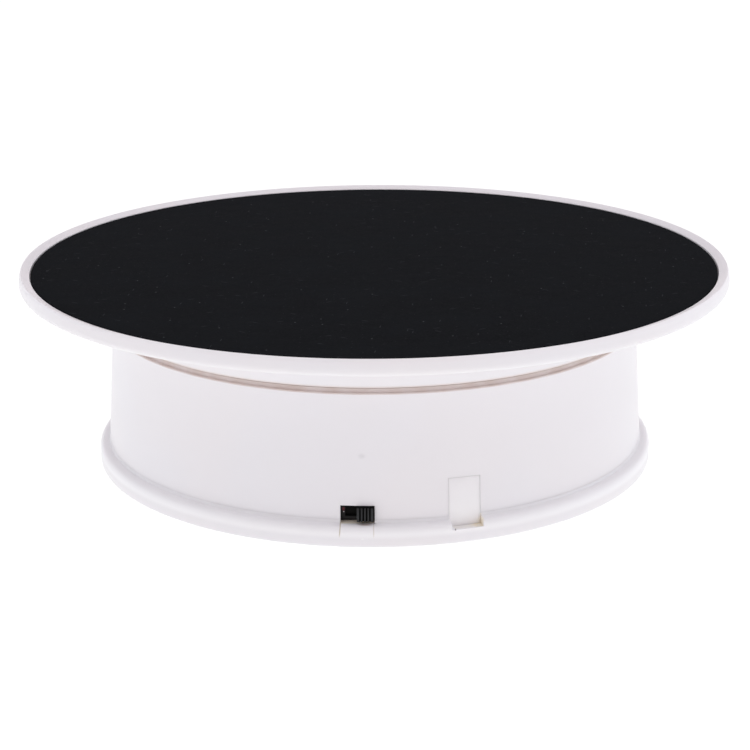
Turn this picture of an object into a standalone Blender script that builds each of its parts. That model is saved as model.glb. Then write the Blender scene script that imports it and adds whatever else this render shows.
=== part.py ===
"""Battery-driven turntable display stand, one object for each real piece.

Lengths are written in millimetres, and MM turns them into Blender's metres. +Z is up, the origin is on the
surface that the stand rests on, under the platter's axis, and the slide switch faces -Y.
"""
from math import acos, asin, cos, pi, radians, sin, tan

import bmesh
import bpy
from mathutils import Matrix, Vector

MM = 0.001
GAP = 0.3               # between pieces that rest on or fit into each other

# Heights above the surface the stand rests on
BASE_UNDERSIDE = 1.0
BASE_FLOOR = 3.4
FLANGE_TOP = 6.6
DRUM_FOOT = 6.9
DECK_UNDERSIDE = 37.9
DECK_TOP = 40.3
RING_FOOT = 42.0
TRACK_FOOT = 42.6
HUB_FOOT = 46.0
SCREW_SHOULDER = 53.4
DISC_UNDERSIDE = 52.8
DISC_TOP = 55.2
PAD_TOP = 56.5
RIM_TOP = 57.4

# Radii about the platter's axis
RIM_R = 100.0
CREST_R = 99.7
WELL_R = 97.0
PAD_R = WELL_R - GAP
RING_R = 74.2
RING_WALL = 2.2
TRACK_R = 60.0
TRACK_WALL = 2.4
HUB_R = 6.5
BUSH_R = 5.0
DRUM_TOP_R = 74.65
DRUM_FOOT_R = 76.8
DRUM_WALL = 2.2
LIP_R = 73.7            # raised lip round the deck, just under the platter's ring
LIP_WALL = 2.2
LIP_TOP = RING_FOOT - GAP
FLANGE_R = 79.7
FLANGE_ROUND = 2.4      # of the flange's upper outer edge
FLANGE_INNER_R = 73.0
ROUND_SIDES = 60

# Slide switch, at the foot of the drum wall
SWITCH_X = -4.54
SLOT_WIDTH = 8.8
SLOT_TOP = 11.25
KNOB_WIDTH = 4.2
KNOB_HEIGHT = 3.6
KNOB_Z = 9.15
KNOB_END_GAP = 0.4      # between the knob and the end of its slot
KNOB_FRONT_Y = -77.9
SWITCH_FRONT_Y = -74.6
SWITCH_BACK_Y = -66.0
FRAME_Y = -72.8
FRAME_THICKNESS = 0.5

# Blanked socket notch in the drum wall
PORT_ANGLE = radians(17.43)     # from -Y towards +X
PORT_WIDTH = 8.6
PORT_TOP = 17.6
PORT_CHANNEL_Z = 5.2

# Battery bay for three AA cells side by side, opening downwards at the back
CELL_PITCH = 15.2
BAY_X = 28.5
BAY_Y = (15.0, 61.0)
BAY_TOP = 18.2
BAY_WALL = 1.6
CELL_ROWS = [sum(BAY_Y) / 2 + CELL_PITCH * k for k in (-1, 0, 1)]
DOOR_X = 31.2
DOOR_Y = (12.9, 63.2)
DOOR_THICKNESS = 1.6

# Screws and feet of the base
POST_R = 63.0
POST_ANGLES = [radians(a) for a in (50, 130, 230, 310)]
FOOT_PLACES = [(58, 32), (-58, 32), (-58, -32), (58, -32)]
FOOT_RADIUS = 5.0
FOOT_HEIGHT = 2.2

# Gear train: worm, two compound gears, and the gear on the output shaft
PRESSURE_ANGLE = radians(25)
ADDENDUM = 0.8
DEDENDUM = 1.05
BACKLASH = 0.05         # taken off each flank
WORM_BACKLASH = 0.09
OUTPUT_TEETH, OUTPUT_MODULE = 50, 0.7
WHEEL_2_TEETH, WHEEL_2_MODULE = 40, 0.6
WORM_WHEEL_TEETH, WORM_MODULE = 30, 0.5
PINION_TEETH = 10
WORM_R = 3.0
AXLE_2 = (0.0, -(OUTPUT_TEETH + PINION_TEETH) * OUTPUT_MODULE / 2)
AXLE_1 = ((WHEEL_2_TEETH + PINION_TEETH) * WHEEL_2_MODULE / 2, AXLE_2[1])
WORM_Y = AXLE_1[1] - WORM_WHEEL_TEETH * WORM_MODULE / 2 - WORM_R
WORM_Z = 13.6
WORM_LENGTH = 10.0
OUTPUT_GEAR_Z = (21.0, 25.0)
WHEEL_2_Z = (16.5, 19.5)
WORM_WHEEL_Z = (WORM_Z - 2.0, WORM_Z + 2.0)
PLATE_LOW = (3.7, 5.7)
PLATE_HIGH = (26.0, 28.0)
SHAFT_R = 3.0
SHAFT_TOP = 53.0
AXLE_R = 1.0
PILLARS = [(-21, 6.5), (21, 6.5), (-18, -27), (30, -14)]
EARS = [(-31, -4), (41, -7), (-6, -40)]

# Small motor lying along +X
MOTOR_R = 10.05
MOTOR_HALF_FLAT = 7.55
MOTOR_X = (26.0, 46.0)
MOTOR_CAP_END = 51.2
MOTOR_SKIN = 1.0

# Support rollers under the platter's track
ROLLER_R = 6.0
ROLLER_WIDTH = 4.0
ROLLER_Z = TRACK_FOOT - GAP - ROLLER_R
ROLLER_ANGLES = [0, pi / 2, pi, 3 * pi / 2]


# ---------------------------------------------------------------- helpers

def clear_scene():
    for obj in list(bpy.data.objects):
        bpy.data.objects.remove(obj, do_unlink=True)


def make_material(name, colour, roughness, metallic=0.0):
    material = bpy.data.materials.new(name)
    material.use_nodes = True
    shader = material.node_tree.nodes["Principled BSDF"]
    shader.inputs["Base Color"].default_value = (*colour, 1.0)
    shader.inputs["Roughness"].default_value = roughness
    shader.inputs["Metallic"].default_value = metallic
    material.diffuse_color = (*colour, 1.0)
    return material


def add_object(name, bm, material, at=(0, 0, 0)):
    """Make an object from a mesh in millimetres, built around the point where it is placed."""
    bmesh.ops.scale(bm, vec=(MM, MM, MM), verts=bm.verts)
    bmesh.ops.recalc_face_normals(bm, faces=bm.faces)
    mesh = bpy.data.meshes.new(name)
    bm.to_mesh(mesh)
    bm.free()
    if material:
        mesh.materials.append(material)
        mesh.shade_smooth()
        mesh.set_sharp_from_angle(angle=radians(30))
    obj = bpy.data.objects.new(name, mesh)
    obj.location = Vector(at) * MM
    bpy.context.scene.collection.objects.link(obj)
    return obj


def boolean(target, operation, bm):
    """Add or remove a shape that is given in the target's own coordinates."""
    label = f"{target.name}_{operation.lower()}_{len(target.modifiers)}"
    tool = add_object(label, bm, None)
    tool.parent = target
    tool.display_type = "WIRE"
    tool.hide_render = True
    modifier = target.modifiers.new(label, "BOOLEAN")
    modifier.operation = operation
    modifier.solver = "EXACT"
    modifier.object = tool


def fuse(target, bm):
    boolean(target, "UNION", bm)


def cut(target, bm):
    boolean(target, "DIFFERENCE", bm)


def add_box(bm, low, high, turn=0.0):
    """Box between two corners, then turned about Z."""
    size = [b - a for a, b in zip(low, high)]
    centre = [(a + b) / 2 for a, b in zip(low, high)]
    matrix = Matrix.Rotation(turn, 4, "Z") @ Matrix.Translation(centre) @ Matrix.Diagonal((*size, 1))
    bmesh.ops.create_cube(bm, size=1.0, matrix=matrix)


def add_rod(bm, radius, start, end, sides=16):
    """Round bar between two points."""
    start, end = Vector(start), Vector(end)
    along = (end - start).to_track_quat("Z", "Y").to_matrix().to_4x4()
    matrix = Matrix.Translation((start + end) / 2) @ along
    bmesh.ops.create_cone(bm, cap_ends=True, segments=sides, radius1=radius, radius2=radius,
                          depth=(end - start).length, matrix=matrix)


def add_turned(bm, outline, sides, matrix=Matrix()):
    """Solid of revolution about Z from (radius, height) points.

    An outline that starts on the axis also ends there. Any other outline is a closed ring.
    """
    rows = []
    for radius, height in outline:
        if radius == 0:
            rows.append([bm.verts.new(matrix @ Vector((0, 0, height)))] * sides)
            continue
        turns = [2 * pi * i / sides for i in range(sides)]
        rows.append([bm.verts.new(matrix @ Vector((radius * cos(t), radius * sin(t), height)))
                     for t in turns])
    following = rows[1:] if outline[0][0] == 0 else rows[1:] + rows[:1]
    for low, high in zip(rows, following):
        for i in range(sides):
            j = (i + 1) % sides
            corners = dict.fromkeys((low[i], low[j], high[j], high[i]))
            bm.faces.new(list(corners))


def add_prism(bm, outline, low, high, holes=(), twist=0.0):
    """Extrude an outline from one height to another, turning it by twist about Z on the way."""
    edges = []
    for loop in (outline, *holes):
        verts = [bm.verts.new((x, y, low)) for x, y in loop]
        edges += [bm.edges.new((verts[i - 1], verts[i])) for i in range(len(verts))]
    filled = bmesh.ops.triangle_fill(bm, edges=edges, use_beauty=True)["geom"]
    sheet = [item for item in filled if isinstance(item, bmesh.types.BMFace)]
    raised = bmesh.ops.extrude_face_region(bm, geom=sheet)["geom"]
    verts = [item for item in raised if isinstance(item, bmesh.types.BMVert)]
    bmesh.ops.translate(bm, vec=(0, 0, high - low), verts=verts)
    bmesh.ops.rotate(bm, cent=(0, 0, 0), matrix=Matrix.Rotation(twist, 3, "Z"), verts=verts)


def circle(radius, sides, centre=(0, 0)):
    turns = [2 * pi * i / sides for i in range(sides)]
    return [(centre[0] + radius * cos(t), centre[1] + radius * sin(t)) for t in turns]


def hull_of_discs(discs):
    """Convex outline round discs given as (x, y, radius)."""
    points = sorted({(round(x, 4), round(y, 4)) for cx, cy, r in discs for x, y in circle(r, 16, (cx, cy))})

    def chain(ordered):
        kept = []
        for x, y in ordered:
            while len(kept) > 1:
                (ax, ay), (bx, by) = kept[-2:]
                if (bx - ax) * (y - ay) - (by - ay) * (x - ax) > 0:
                    break
                kept.pop()
            kept.append((x, y))
        return kept[:-1]

    return chain(points) + chain(points[::-1])


def lie_along_x(bm):
    bmesh.ops.rotate(bm, cent=(0, 0, 0), matrix=Matrix.Rotation(pi / 2, 3, "Y"), verts=bm.verts)


def polar(radius, angle, height=0.0):
    return Vector((radius * cos(angle), radius * sin(angle), height))


def drum_radius(height):
    """Outer radius of the drum wall, which leans in slightly towards the top."""
    share = (height - DRUM_FOOT) / (DECK_TOP - DRUM_FOOT)
    return DRUM_FOOT_R + (DRUM_TOP_R - DRUM_FOOT_R) * share


# ---------------------------------------------------------------- platter

def build_platter(white):
    ring_in = RING_R - RING_WALL
    track_in, track_out = TRACK_R - TRACK_WALL / 2, TRACK_R + TRACK_WALL / 2
    outline = [
        (0, DISC_UNDERSIDE), (track_in, DISC_UNDERSIDE), (track_in, TRACK_FOOT), (track_out, TRACK_FOOT),
        (track_out, DISC_UNDERSIDE), (ring_in, DISC_UNDERSIDE), (ring_in, RING_FOOT),
        (RING_R, RING_FOOT), (RING_R + 0.4, DISC_UNDERSIDE), (98.2, DISC_UNDERSIDE),
        (99.1, 53.1), (99.7, 53.9), (RIM_R, 55.2), (RIM_R, RIM_TOP - 0.35), (CREST_R, RIM_TOP),
        (WELL_R, PAD_TOP), (WELL_R, DISC_TOP), (0, DISC_TOP),
    ]
    bm = bmesh.new()
    add_turned(bm, outline, ROUND_SIDES)
    platter = add_object("platter", bm, white)
    hub = bmesh.new()
    add_rod(hub, HUB_R, (0, 0, HUB_FOOT), (0, 0, DISC_UNDERSIDE + 0.5), sides=24)
    fuse(platter, hub)
    counterbore = bmesh.new()
    add_rod(counterbore, 4.5, (0, 0, SCREW_SHOULDER), (0, 0, DISC_TOP + 1), sides=24)
    cut(platter, counterbore)
    bore = bmesh.new()
    add_rod(bore, SHAFT_R + GAP, (0, 0, HUB_FOOT - 1), (0, 0, SCREW_SHOULDER + 0.5), sides=24)
    cut(platter, bore)
    flat = bmesh.new()
    add_box(flat, (SHAFT_R - GAP, -3, HUB_FOOT + 0.4), (5, 3, SCREW_SHOULDER - 0.4))
    fuse(platter, flat)


def build_velvet_pad(black_velvet):
    low = DISC_TOP + GAP
    outline = [(0, low), (PAD_R - 0.3, low), (PAD_R, low + 0.3), (PAD_R, PAD_TOP - 0.3),
               (PAD_R - 0.4, PAD_TOP), (0, PAD_TOP)]
    bm = bmesh.new()
    add_turned(bm, outline, ROUND_SIDES)
    add_object("velvet_pad", bm, black_velvet)


def build_output_shaft(steel):
    bm = bmesh.new()
    add_turned(bm, [(0, 5.9), (2.6, 5.9), (SHAFT_R, 6.3), (SHAFT_R, SHAFT_TOP), (1.6, SHAFT_TOP),
                    (1.6, SHAFT_TOP - 10), (0, SHAFT_TOP - 10)], 24)
    shaft = add_object("output_shaft", bm, steel)
    flat = bmesh.new()
    add_box(flat, (SHAFT_R - 2 * GAP, -4, HUB_FOOT - 1), (5, 4, SHAFT_TOP + 1))
    cut(shaft, flat)


def add_screw(bm, head_r, head_height, shank_r, shank_length, sides=10):
    """Screw standing on its head at the origin, its point up."""
    slot = head_r * 0.35
    outline = [(0, 0.5), (slot, 0.5), (slot, 0), (head_r * 0.8, 0), (head_r, head_height * 0.5),
               (head_r, head_height), (shank_r, head_height), (shank_r, head_height + shank_length - 1),
               (0, head_height + shank_length)]
    add_turned(bm, outline, sides)


def build_screws(steel):
    def place(name, at, up, **size):
        bm = bmesh.new()
        add_screw(bm, **size)
        if not up:
            bmesh.ops.rotate(bm, cent=(0, 0, 0), matrix=Matrix.Rotation(pi, 3, "X"), verts=bm.verts)
        add_object(name, bm, steel, at)

    place("platter_screw", (0, 0, 54.9), False, head_r=4.1, head_height=1.2, shank_r=1.3, shank_length=9)
    for i, angle in enumerate(POST_ANGLES, 1):
        place(f"base_screw_{i}", polar(POST_R, angle, 1.2), True,
              head_r=3.0, head_height=1.7, shank_r=1.3, shank_length=11)
    for i, (x, y) in enumerate(PILLARS, 1):
        place(f"gearbox_screw_{i}", (x, y, PLATE_HIGH[1] + GAP + 1.5), False,
              head_r=2.1, head_height=1.5, shank_r=1.0, shank_length=10)
    for i, (x, y) in enumerate(EARS, 1):
        place(f"mount_screw_{i}", (x, y, PLATE_HIGH[0] - GAP - 1.5), True,
              head_r=2.1, head_height=1.5, shank_r=1.0, shank_length=9)


# ---------------------------------------------------------------- housing

def build_housing_drum(white):
    foot_in, top_in = DRUM_FOOT_R - DRUM_WALL, DRUM_TOP_R - DRUM_WALL
    outline = [
        (0, DECK_UNDERSIDE), (top_in, DECK_UNDERSIDE), (foot_in, DRUM_FOOT), (DRUM_FOOT_R, DRUM_FOOT),
        (drum_radius(39.5), 39.5), (DRUM_TOP_R - 0.25, 40.1), (DRUM_TOP_R - 0.8, DECK_TOP),
        (LIP_R, DECK_TOP), (LIP_R, LIP_TOP), (LIP_R - LIP_WALL, LIP_TOP), (LIP_R - LIP_WALL, DECK_TOP),
        (0, DECK_TOP),
    ]
    bm = bmesh.new()
    add_turned(bm, outline, ROUND_SIDES)
    drum = add_object("housing_drum", bm, white)
    fuse(drum, drum_posts_and_brackets())
    cut(drum, drum_holes())


def drum_posts_and_brackets():
    bm = bmesh.new()
    reach = DECK_UNDERSIDE + 0.2
    add_rod(bm, BUSH_R + 3.5, (0, 0, 34), (0, 0, reach), sides=24)
    for angle in POST_ANGLES:
        add_rod(bm, 4.0, polar(POST_R, angle, 5.3), polar(POST_R, angle, reach))
    for x, y in EARS:
        add_rod(bm, 3.5, (x, y, PLATE_HIGH[1] + GAP), (x, y, reach), sides=12)
    for angle in ROLLER_ANGLES:
        for inner in (TRACK_R - 3.9, TRACK_R + 2.5):
            add_box(bm, (inner, -3.4, ROLLER_Z - 2.4), (inner + 1.4, 3.4, reach), turn=angle)
    for side in (-1, 1):
        rail = SWITCH_X + side * 10.9
        add_box(bm, (rail - 0.7, -74.3, DRUM_FOOT + 0.3), (rail + 0.7, -70.6, 15.0))
    return bm


def drum_holes():
    bm = bmesh.new()
    add_rod(bm, BUSH_R + GAP, (0, 0, 33), (0, 0, 42), sides=24)
    for angle in POST_ANGLES:
        add_rod(bm, 1.6, polar(POST_R, angle, 4.0), polar(POST_R, angle, 16.0), sides=10)
    for x, y in EARS:
        add_rod(bm, 1.3, (x, y, 27.0), (x, y, 36.0), sides=10)
    for angle in ROLLER_ANGLES:
        add_box(bm, (TRACK_R - 2.4, -6.4, 37.75), (TRACK_R + 2.4, 6.4, 42.0), turn=angle)
        add_rod(bm, AXLE_R + GAP, polar(TRACK_R - 4.8, angle, ROLLER_Z),
                polar(TRACK_R + 4.8, angle, ROLLER_Z), sides=10)
    half = SLOT_WIDTH / 2
    add_box(bm, (SWITCH_X - half, -80, 4), (SWITCH_X + half, -71, SLOT_TOP))
    half = PORT_WIDTH / 2
    add_box(bm, (-half, -80, 4), (half, -70, PORT_TOP), turn=PORT_ANGLE)
    return bm


def build_base_plate(white):
    bend = Vector((FLANGE_R - FLANGE_ROUND, FLANGE_TOP - FLANGE_ROUND))
    shoulder = [bend + FLANGE_ROUND * Vector((cos(t), sin(t))) for t in (pi / 2 * k / 4 for k in range(5))]
    outline = [
        (0, BASE_UNDERSIDE), (74.6, BASE_UNDERSIDE), (74.6, 4.0), (77.2, 4.0), (77.2, BASE_UNDERSIDE),
        (79.2, BASE_UNDERSIDE), (79.6, 1.4), *shoulder,
        (FLANGE_INNER_R, FLANGE_TOP), (FLANGE_INNER_R, BASE_FLOOR), (0, BASE_FLOOR),
    ]
    bm = bmesh.new()
    add_turned(bm, outline, ROUND_SIDES)
    base = add_object("base_plate", bm, white)
    inside = BASE_UNDERSIDE + 0.2

    frame = bmesh.new()
    add_box(frame, (-32.6, 11.6, inside), (32.6, 64.4, 4.6))
    for angle in POST_ANGLES:
        add_rod(frame, 4.8, polar(POST_R, angle, inside), polar(POST_R, angle, 5.0))
    fuse(base, frame)

    bay = bmesh.new()
    add_box(bay, (-BAY_X - BAY_WALL, BAY_Y[0] - BAY_WALL, inside),
            (BAY_X + BAY_WALL, BAY_Y[1] + BAY_WALL, BAY_TOP + BAY_WALL))
    fuse(base, bay)
    cut(base, base_pockets())
    cut(base, base_recess_and_holes())


def base_pockets():
    bm = bmesh.new()
    add_box(bm, (-BAY_X, BAY_Y[0], -1), (BAY_X, BAY_Y[1], BAY_TOP))
    for x, y in FOOT_PLACES:
        add_rod(bm, FOOT_RADIUS + GAP, (x, y, -1), (x, y, FOOT_HEIGHT + GAP), sides=20)
    for angle in POST_ANGLES:
        add_rod(bm, 3.4, polar(POST_R, angle, -1), polar(POST_R, angle, 3.2), sides=16)
    add_box(bm, (-6, DOOR_Y[1], -1), (6, 67.5, 2.3))
    half = PORT_WIDTH / 2
    add_box(bm, (-half, -84, PORT_CHANNEL_Z), (half, -73.4, 9), turn=PORT_ANGLE)
    return bm


def base_recess_and_holes():
    bm = bmesh.new()
    add_box(bm, (-DOOR_X - GAP, DOOR_Y[0] - GAP, -1), (DOOR_X + GAP, DOOR_Y[1] + GAP, 2.9))
    for angle in POST_ANGLES:
        add_rod(bm, 1.6, polar(POST_R, angle, 2.0), polar(POST_R, angle, 7.0), sides=10)
    for side, row in ((-1, CELL_ROWS[0]), (1, CELL_ROWS[2])):
        add_rod(bm, 1.1, (side * (BAY_X - 1), row, 15.5), (side * (BAY_X + 4), row, 15.5), sides=10)
    return bm


def add_wall_patch(bm, half_width, low, high, depth_out, depth_in, steps=4):
    """Curved patch of the drum wall about the port's direction, between two depths behind its surface."""
    rows = []
    for height in (low, high):
        for depth in (depth_out, depth_in):
            radius = drum_radius(height) - depth
            spread = asin(half_width / radius)
            angles = [PORT_ANGLE - pi / 2 + spread * (2 * k / steps - 1) for k in range(steps + 1)]
            rows.append([bm.verts.new(polar(radius, a, height)) for a in angles])
    low_out, low_in, high_out, high_in = rows
    for first, second in ((low_out, low_in), (low_in, high_in), (high_in, high_out), (high_out, low_out)):
        for k in range(steps):
            bm.faces.new((first[k], first[k + 1], second[k + 1], second[k]))
    for end in (0, -1):
        bm.faces.new((low_out[end], low_in[end], high_in[end], high_out[end]))


def build_port_blank(white):
    low = PORT_CHANNEL_Z + GAP
    bm = bmesh.new()
    add_wall_patch(bm, PORT_WIDTH / 2 - GAP, low, PORT_TOP - GAP, 0.0, 2.8)
    blank = add_object("port_blank", bm, white)
    lip = bmesh.new()
    add_wall_patch(lip, PORT_WIDTH / 2 + 1.6, FLANGE_TOP + GAP, PORT_TOP + 1.6, DRUM_WALL + GAP, 3.8)
    fuse(blank, lip)


def build_feet(rubber):
    for i, (x, y) in enumerate(FOOT_PLACES, 1):
        bm = bmesh.new()
        add_turned(bm, [(0, 0), (FOOT_RADIUS - 0.5, 0), (FOOT_RADIUS, 0.5), (FOOT_RADIUS, FOOT_HEIGHT),
                        (0, FOOT_HEIGHT)], 20)
        add_object(f"foot_{i}", bm, rubber, (x, y, 0))


def build_hub_bush(bronze):
    bore = SHAFT_R + GAP
    outline = [(bore, 34.5), (BUSH_R, 34.5), (BUSH_R, DECK_TOP + GAP), (7.2, DECK_TOP + GAP), (7.2, 41.6),
               (bore, 41.6)]
    bm = bmesh.new()
    add_turned(bm, outline, 24)
    add_object("hub_bush", bm, bronze)


# ---------------------------------------------------------------- switch

def build_switch(black, steel):
    body = bmesh.new()
    add_box(body, (SWITCH_X - 6.5, -72.0, DRUM_FOOT), (SWITCH_X + 6.5, SWITCH_BACK_Y, 12.6))
    switch = add_object("switch_body", body, black)
    nose = bmesh.new()
    add_box(nose, (SWITCH_X - 4.0, SWITCH_FRONT_Y, DRUM_FOOT + GAP),
            (SWITCH_X + 4.0, -71.8, SLOT_TOP - GAP))
    for side in (-1, 0, 1):
        tag = SWITCH_X + 4 * side
        add_box(nose, (tag - 0.3, SWITCH_BACK_Y - 0.5, 8.2), (tag + 0.3, SWITCH_BACK_Y + 2.5, 9.7))
    fuse(switch, nose)
    track = bmesh.new()
    add_box(track, (SWITCH_X - 3.2, SWITCH_FRONT_Y - 1, KNOB_Z - 1.4),
            (SWITCH_X + 3.2, SWITCH_FRONT_Y + 4.2, KNOB_Z + 1.4))
    cut(switch, track)

    def frame_loop(half_width, low, high):
        left, right = SWITCH_X - half_width, SWITCH_X + half_width
        return [(left, low), (right, low), (right, high), (left, high)]

    outline = frame_loop(9.8, DRUM_FOOT, 12.9)
    window = frame_loop(4.3, DRUM_FOOT + GAP / 2, SLOT_TOP)
    frame = bmesh.new()
    add_prism(frame, outline, 0, FRAME_THICKNESS, holes=[window])
    upright = Matrix.Translation((0, FRAME_Y + FRAME_THICKNESS, 0)) @ Matrix.Rotation(pi / 2, 4, "X")
    bmesh.ops.transform(frame, matrix=upright, verts=frame.verts)
    add_object("switch_frame", frame, steel)


def build_switch_knob(black):
    """Knob at the right-hand end of its slot, with four upright grooves across its face."""
    centre = SWITCH_X + SLOT_WIDTH / 2 - KNOB_END_GAP - KNOB_WIDTH / 2
    half_w, half_h = KNOB_WIDTH / 2, KNOB_HEIGHT / 2
    front, back = KNOB_FRONT_Y, SWITCH_FRONT_Y - GAP
    groove, pitch = 0.35, KNOB_WIDTH / 5
    outline = [(-half_w, back), (-half_w, front)]
    for k in range(1, 5):
        x = -half_w + pitch * k
        outline += [(x - groove / 2, front), (x - groove / 4, front + 0.4),
                    (x + groove / 4, front + 0.4), (x + groove / 2, front)]
    outline += [(half_w, front), (half_w, back)]
    bm = bmesh.new()
    add_prism(bm, outline, -half_h, half_h)
    knob = add_object("switch_knob", bm, black, (centre, 0, KNOB_Z))
    stem = bmesh.new()
    add_box(stem, (-1.0, back - 0.4, -1.1), (1.0, SWITCH_FRONT_Y + 3.6, 1.1))
    fuse(knob, stem)


# ---------------------------------------------------------------- battery bay

def build_battery_door(white):
    """Door whose origin is on its hinge line, the lower edge of its front side."""
    hinge = (0, DOOR_Y[0], BASE_UNDERSIDE)
    bm = bmesh.new()
    length = DOOR_Y[1] - DOOR_Y[0]
    add_box(bm, (-DOOR_X, 0, 0), (DOOR_X, length, DOOR_THICKNESS))
    door = add_object("battery_door", bm, white, hinge)
    thumb_tab = bmesh.new()
    add_box(thumb_tab, (-4, length - 0.5, 0.1), (4, length + 2.4, 1.0))
    fuse(door, thumb_tab)


def build_contacts(steel):
    """Bent strips at the ends of the bay, bowed towards the cells."""
    def strip(name, side, rows):
        path = []
        for row in rows:
            path += [(0, row - 5.5), (0, row - 3.0), (2.2, row), (0, row + 3.0), (0, row + 5.5)]
        wall = BAY_X - GAP
        outer = [(side * (wall - bow), y) for bow, y in path]
        inner = [(side * (wall - 0.4 - bow), y) for bow, y in reversed(path)]
        bm = bmesh.new()
        add_prism(bm, outer + inner, 5.0, 17.0)
        add_object(name, bm, steel)

    strip("contact_positive", -1, CELL_ROWS[:1])
    strip("contact_link_left", -1, CELL_ROWS[1:])
    strip("contact_link_right", 1, CELL_ROWS[:2])
    strip("contact_negative", 1, CELL_ROWS[2:])


# ---------------------------------------------------------------- gears and motor

def involute(angle):
    return tan(angle) - angle


def gear_outline(teeth, module, steps, phase):
    """Involute spur gear with a tooth centred on the angle phase."""
    pitch_r = teeth * module / 2
    base_r = pitch_r * cos(PRESSURE_ANGLE)
    backlash = WORM_BACKLASH if module == WORM_MODULE else BACKLASH
    half_at_pitch = pi / (2 * teeth) - backlash / pitch_r

    def half_angle(radius):
        here = acos(min(1.0, base_r / radius))
        return half_at_pitch + involute(PRESSURE_ANGLE) - involute(here)

    low, high = pitch_r - DEDENDUM * module, pitch_r + ADDENDUM * module
    radii = [low + (high - low) * k / steps for k in range(steps + 1)]
    points = []
    for tooth in range(teeth):
        middle = phase + 2 * pi * tooth / teeth
        flanks = [(r, middle - half_angle(r)) for r in radii]
        flanks += [(r, middle + half_angle(r)) for r in reversed(radii)]
        points += [(r * cos(a), r * sin(a)) for r, a in flanks]
    return points


def build_output_gear(plastic):
    """Its tooth at -Y stands in a gap of the pinion of compound gear 2."""
    bm = bmesh.new()
    add_prism(bm, gear_outline(OUTPUT_TEETH, OUTPUT_MODULE, 1, -pi / 2), *OUTPUT_GEAR_Z,
              holes=[circle(SHAFT_R + GAP, 24)])
    gear = add_object("output_gear", bm, plastic)
    hub = bmesh.new()
    bore, z = SHAFT_R + GAP, OUTPUT_GEAR_Z[0]
    add_turned(hub, [(bore + 0.4, z - 1), (6, z - 1), (6, z + 0.5), (bore + 0.4, z + 0.5)], 24)
    fuse(gear, hub)


def build_compound_gear(name, plastic, at, wheel, wheel_z, pinion, pinion_z, hub_foot):
    """Wheel with a pinion and a spacer hub on one bored blank, round its axle."""
    hole = [circle(AXLE_R + GAP, 12)]
    bm = bmesh.new()
    add_prism(bm, wheel["outline"], *wheel_z, holes=hole, twist=wheel["twist"])
    gear = add_object(name, bm, plastic, (*at, 0))
    small = bmesh.new()
    add_prism(small, pinion, pinion_z[0] - 0.5, pinion_z[1], holes=[circle(AXLE_R + GAP + 0.2, 12)])
    fuse(gear, small)
    hub = bmesh.new()
    inner, hub_top = AXLE_R + GAP + 0.2, wheel_z[0] + 0.5
    add_turned(hub, [(inner, hub_foot), (2.4, hub_foot), (2.4, hub_top), (inner, hub_top)], 12)
    fuse(gear, hub)


def build_compound_gears(plastic):
    lead_slope = WORM_MODULE / (2 * WORM_R)
    twist = (WORM_WHEEL_Z[1] - WORM_WHEEL_Z[0]) * lead_slope / (WORM_WHEEL_TEETH * WORM_MODULE / 2)
    half_pitch = pi / PINION_TEETH
    worm_wheel = gear_outline(WORM_WHEEL_TEETH, WORM_MODULE, 1, -pi / 2 - twist / 2)
    build_compound_gear(
        "compound_gear_1", plastic, AXLE_1,
        {"outline": worm_wheel, "twist": twist}, WORM_WHEEL_Z,
        gear_outline(PINION_TEETH, WHEEL_2_MODULE, 2, pi + half_pitch), (WORM_WHEEL_Z[1], 20.2),
        PLATE_LOW[1] + GAP)
    wheel_2 = gear_outline(WHEEL_2_TEETH, WHEEL_2_MODULE, 1, 0.0)
    build_compound_gear(
        "compound_gear_2", plastic, AXLE_2,
        {"outline": wheel_2, "twist": 0.0}, WHEEL_2_Z,
        gear_outline(PINION_TEETH, OUTPUT_MODULE, 2, pi / 2 + half_pitch), (WHEEL_2_Z[1], 25.3),
        PLATE_LOW[1] + GAP)


def build_gear_axles(steel):
    for i, at in enumerate((AXLE_1, AXLE_2), 1):
        bm = bmesh.new()
        add_rod(bm, AXLE_R, (0, 0, 4.0), (0, 0, 27.6), sides=12)
        add_object(f"gear_axle_{i}", bm, steel, (*at, 0))


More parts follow.
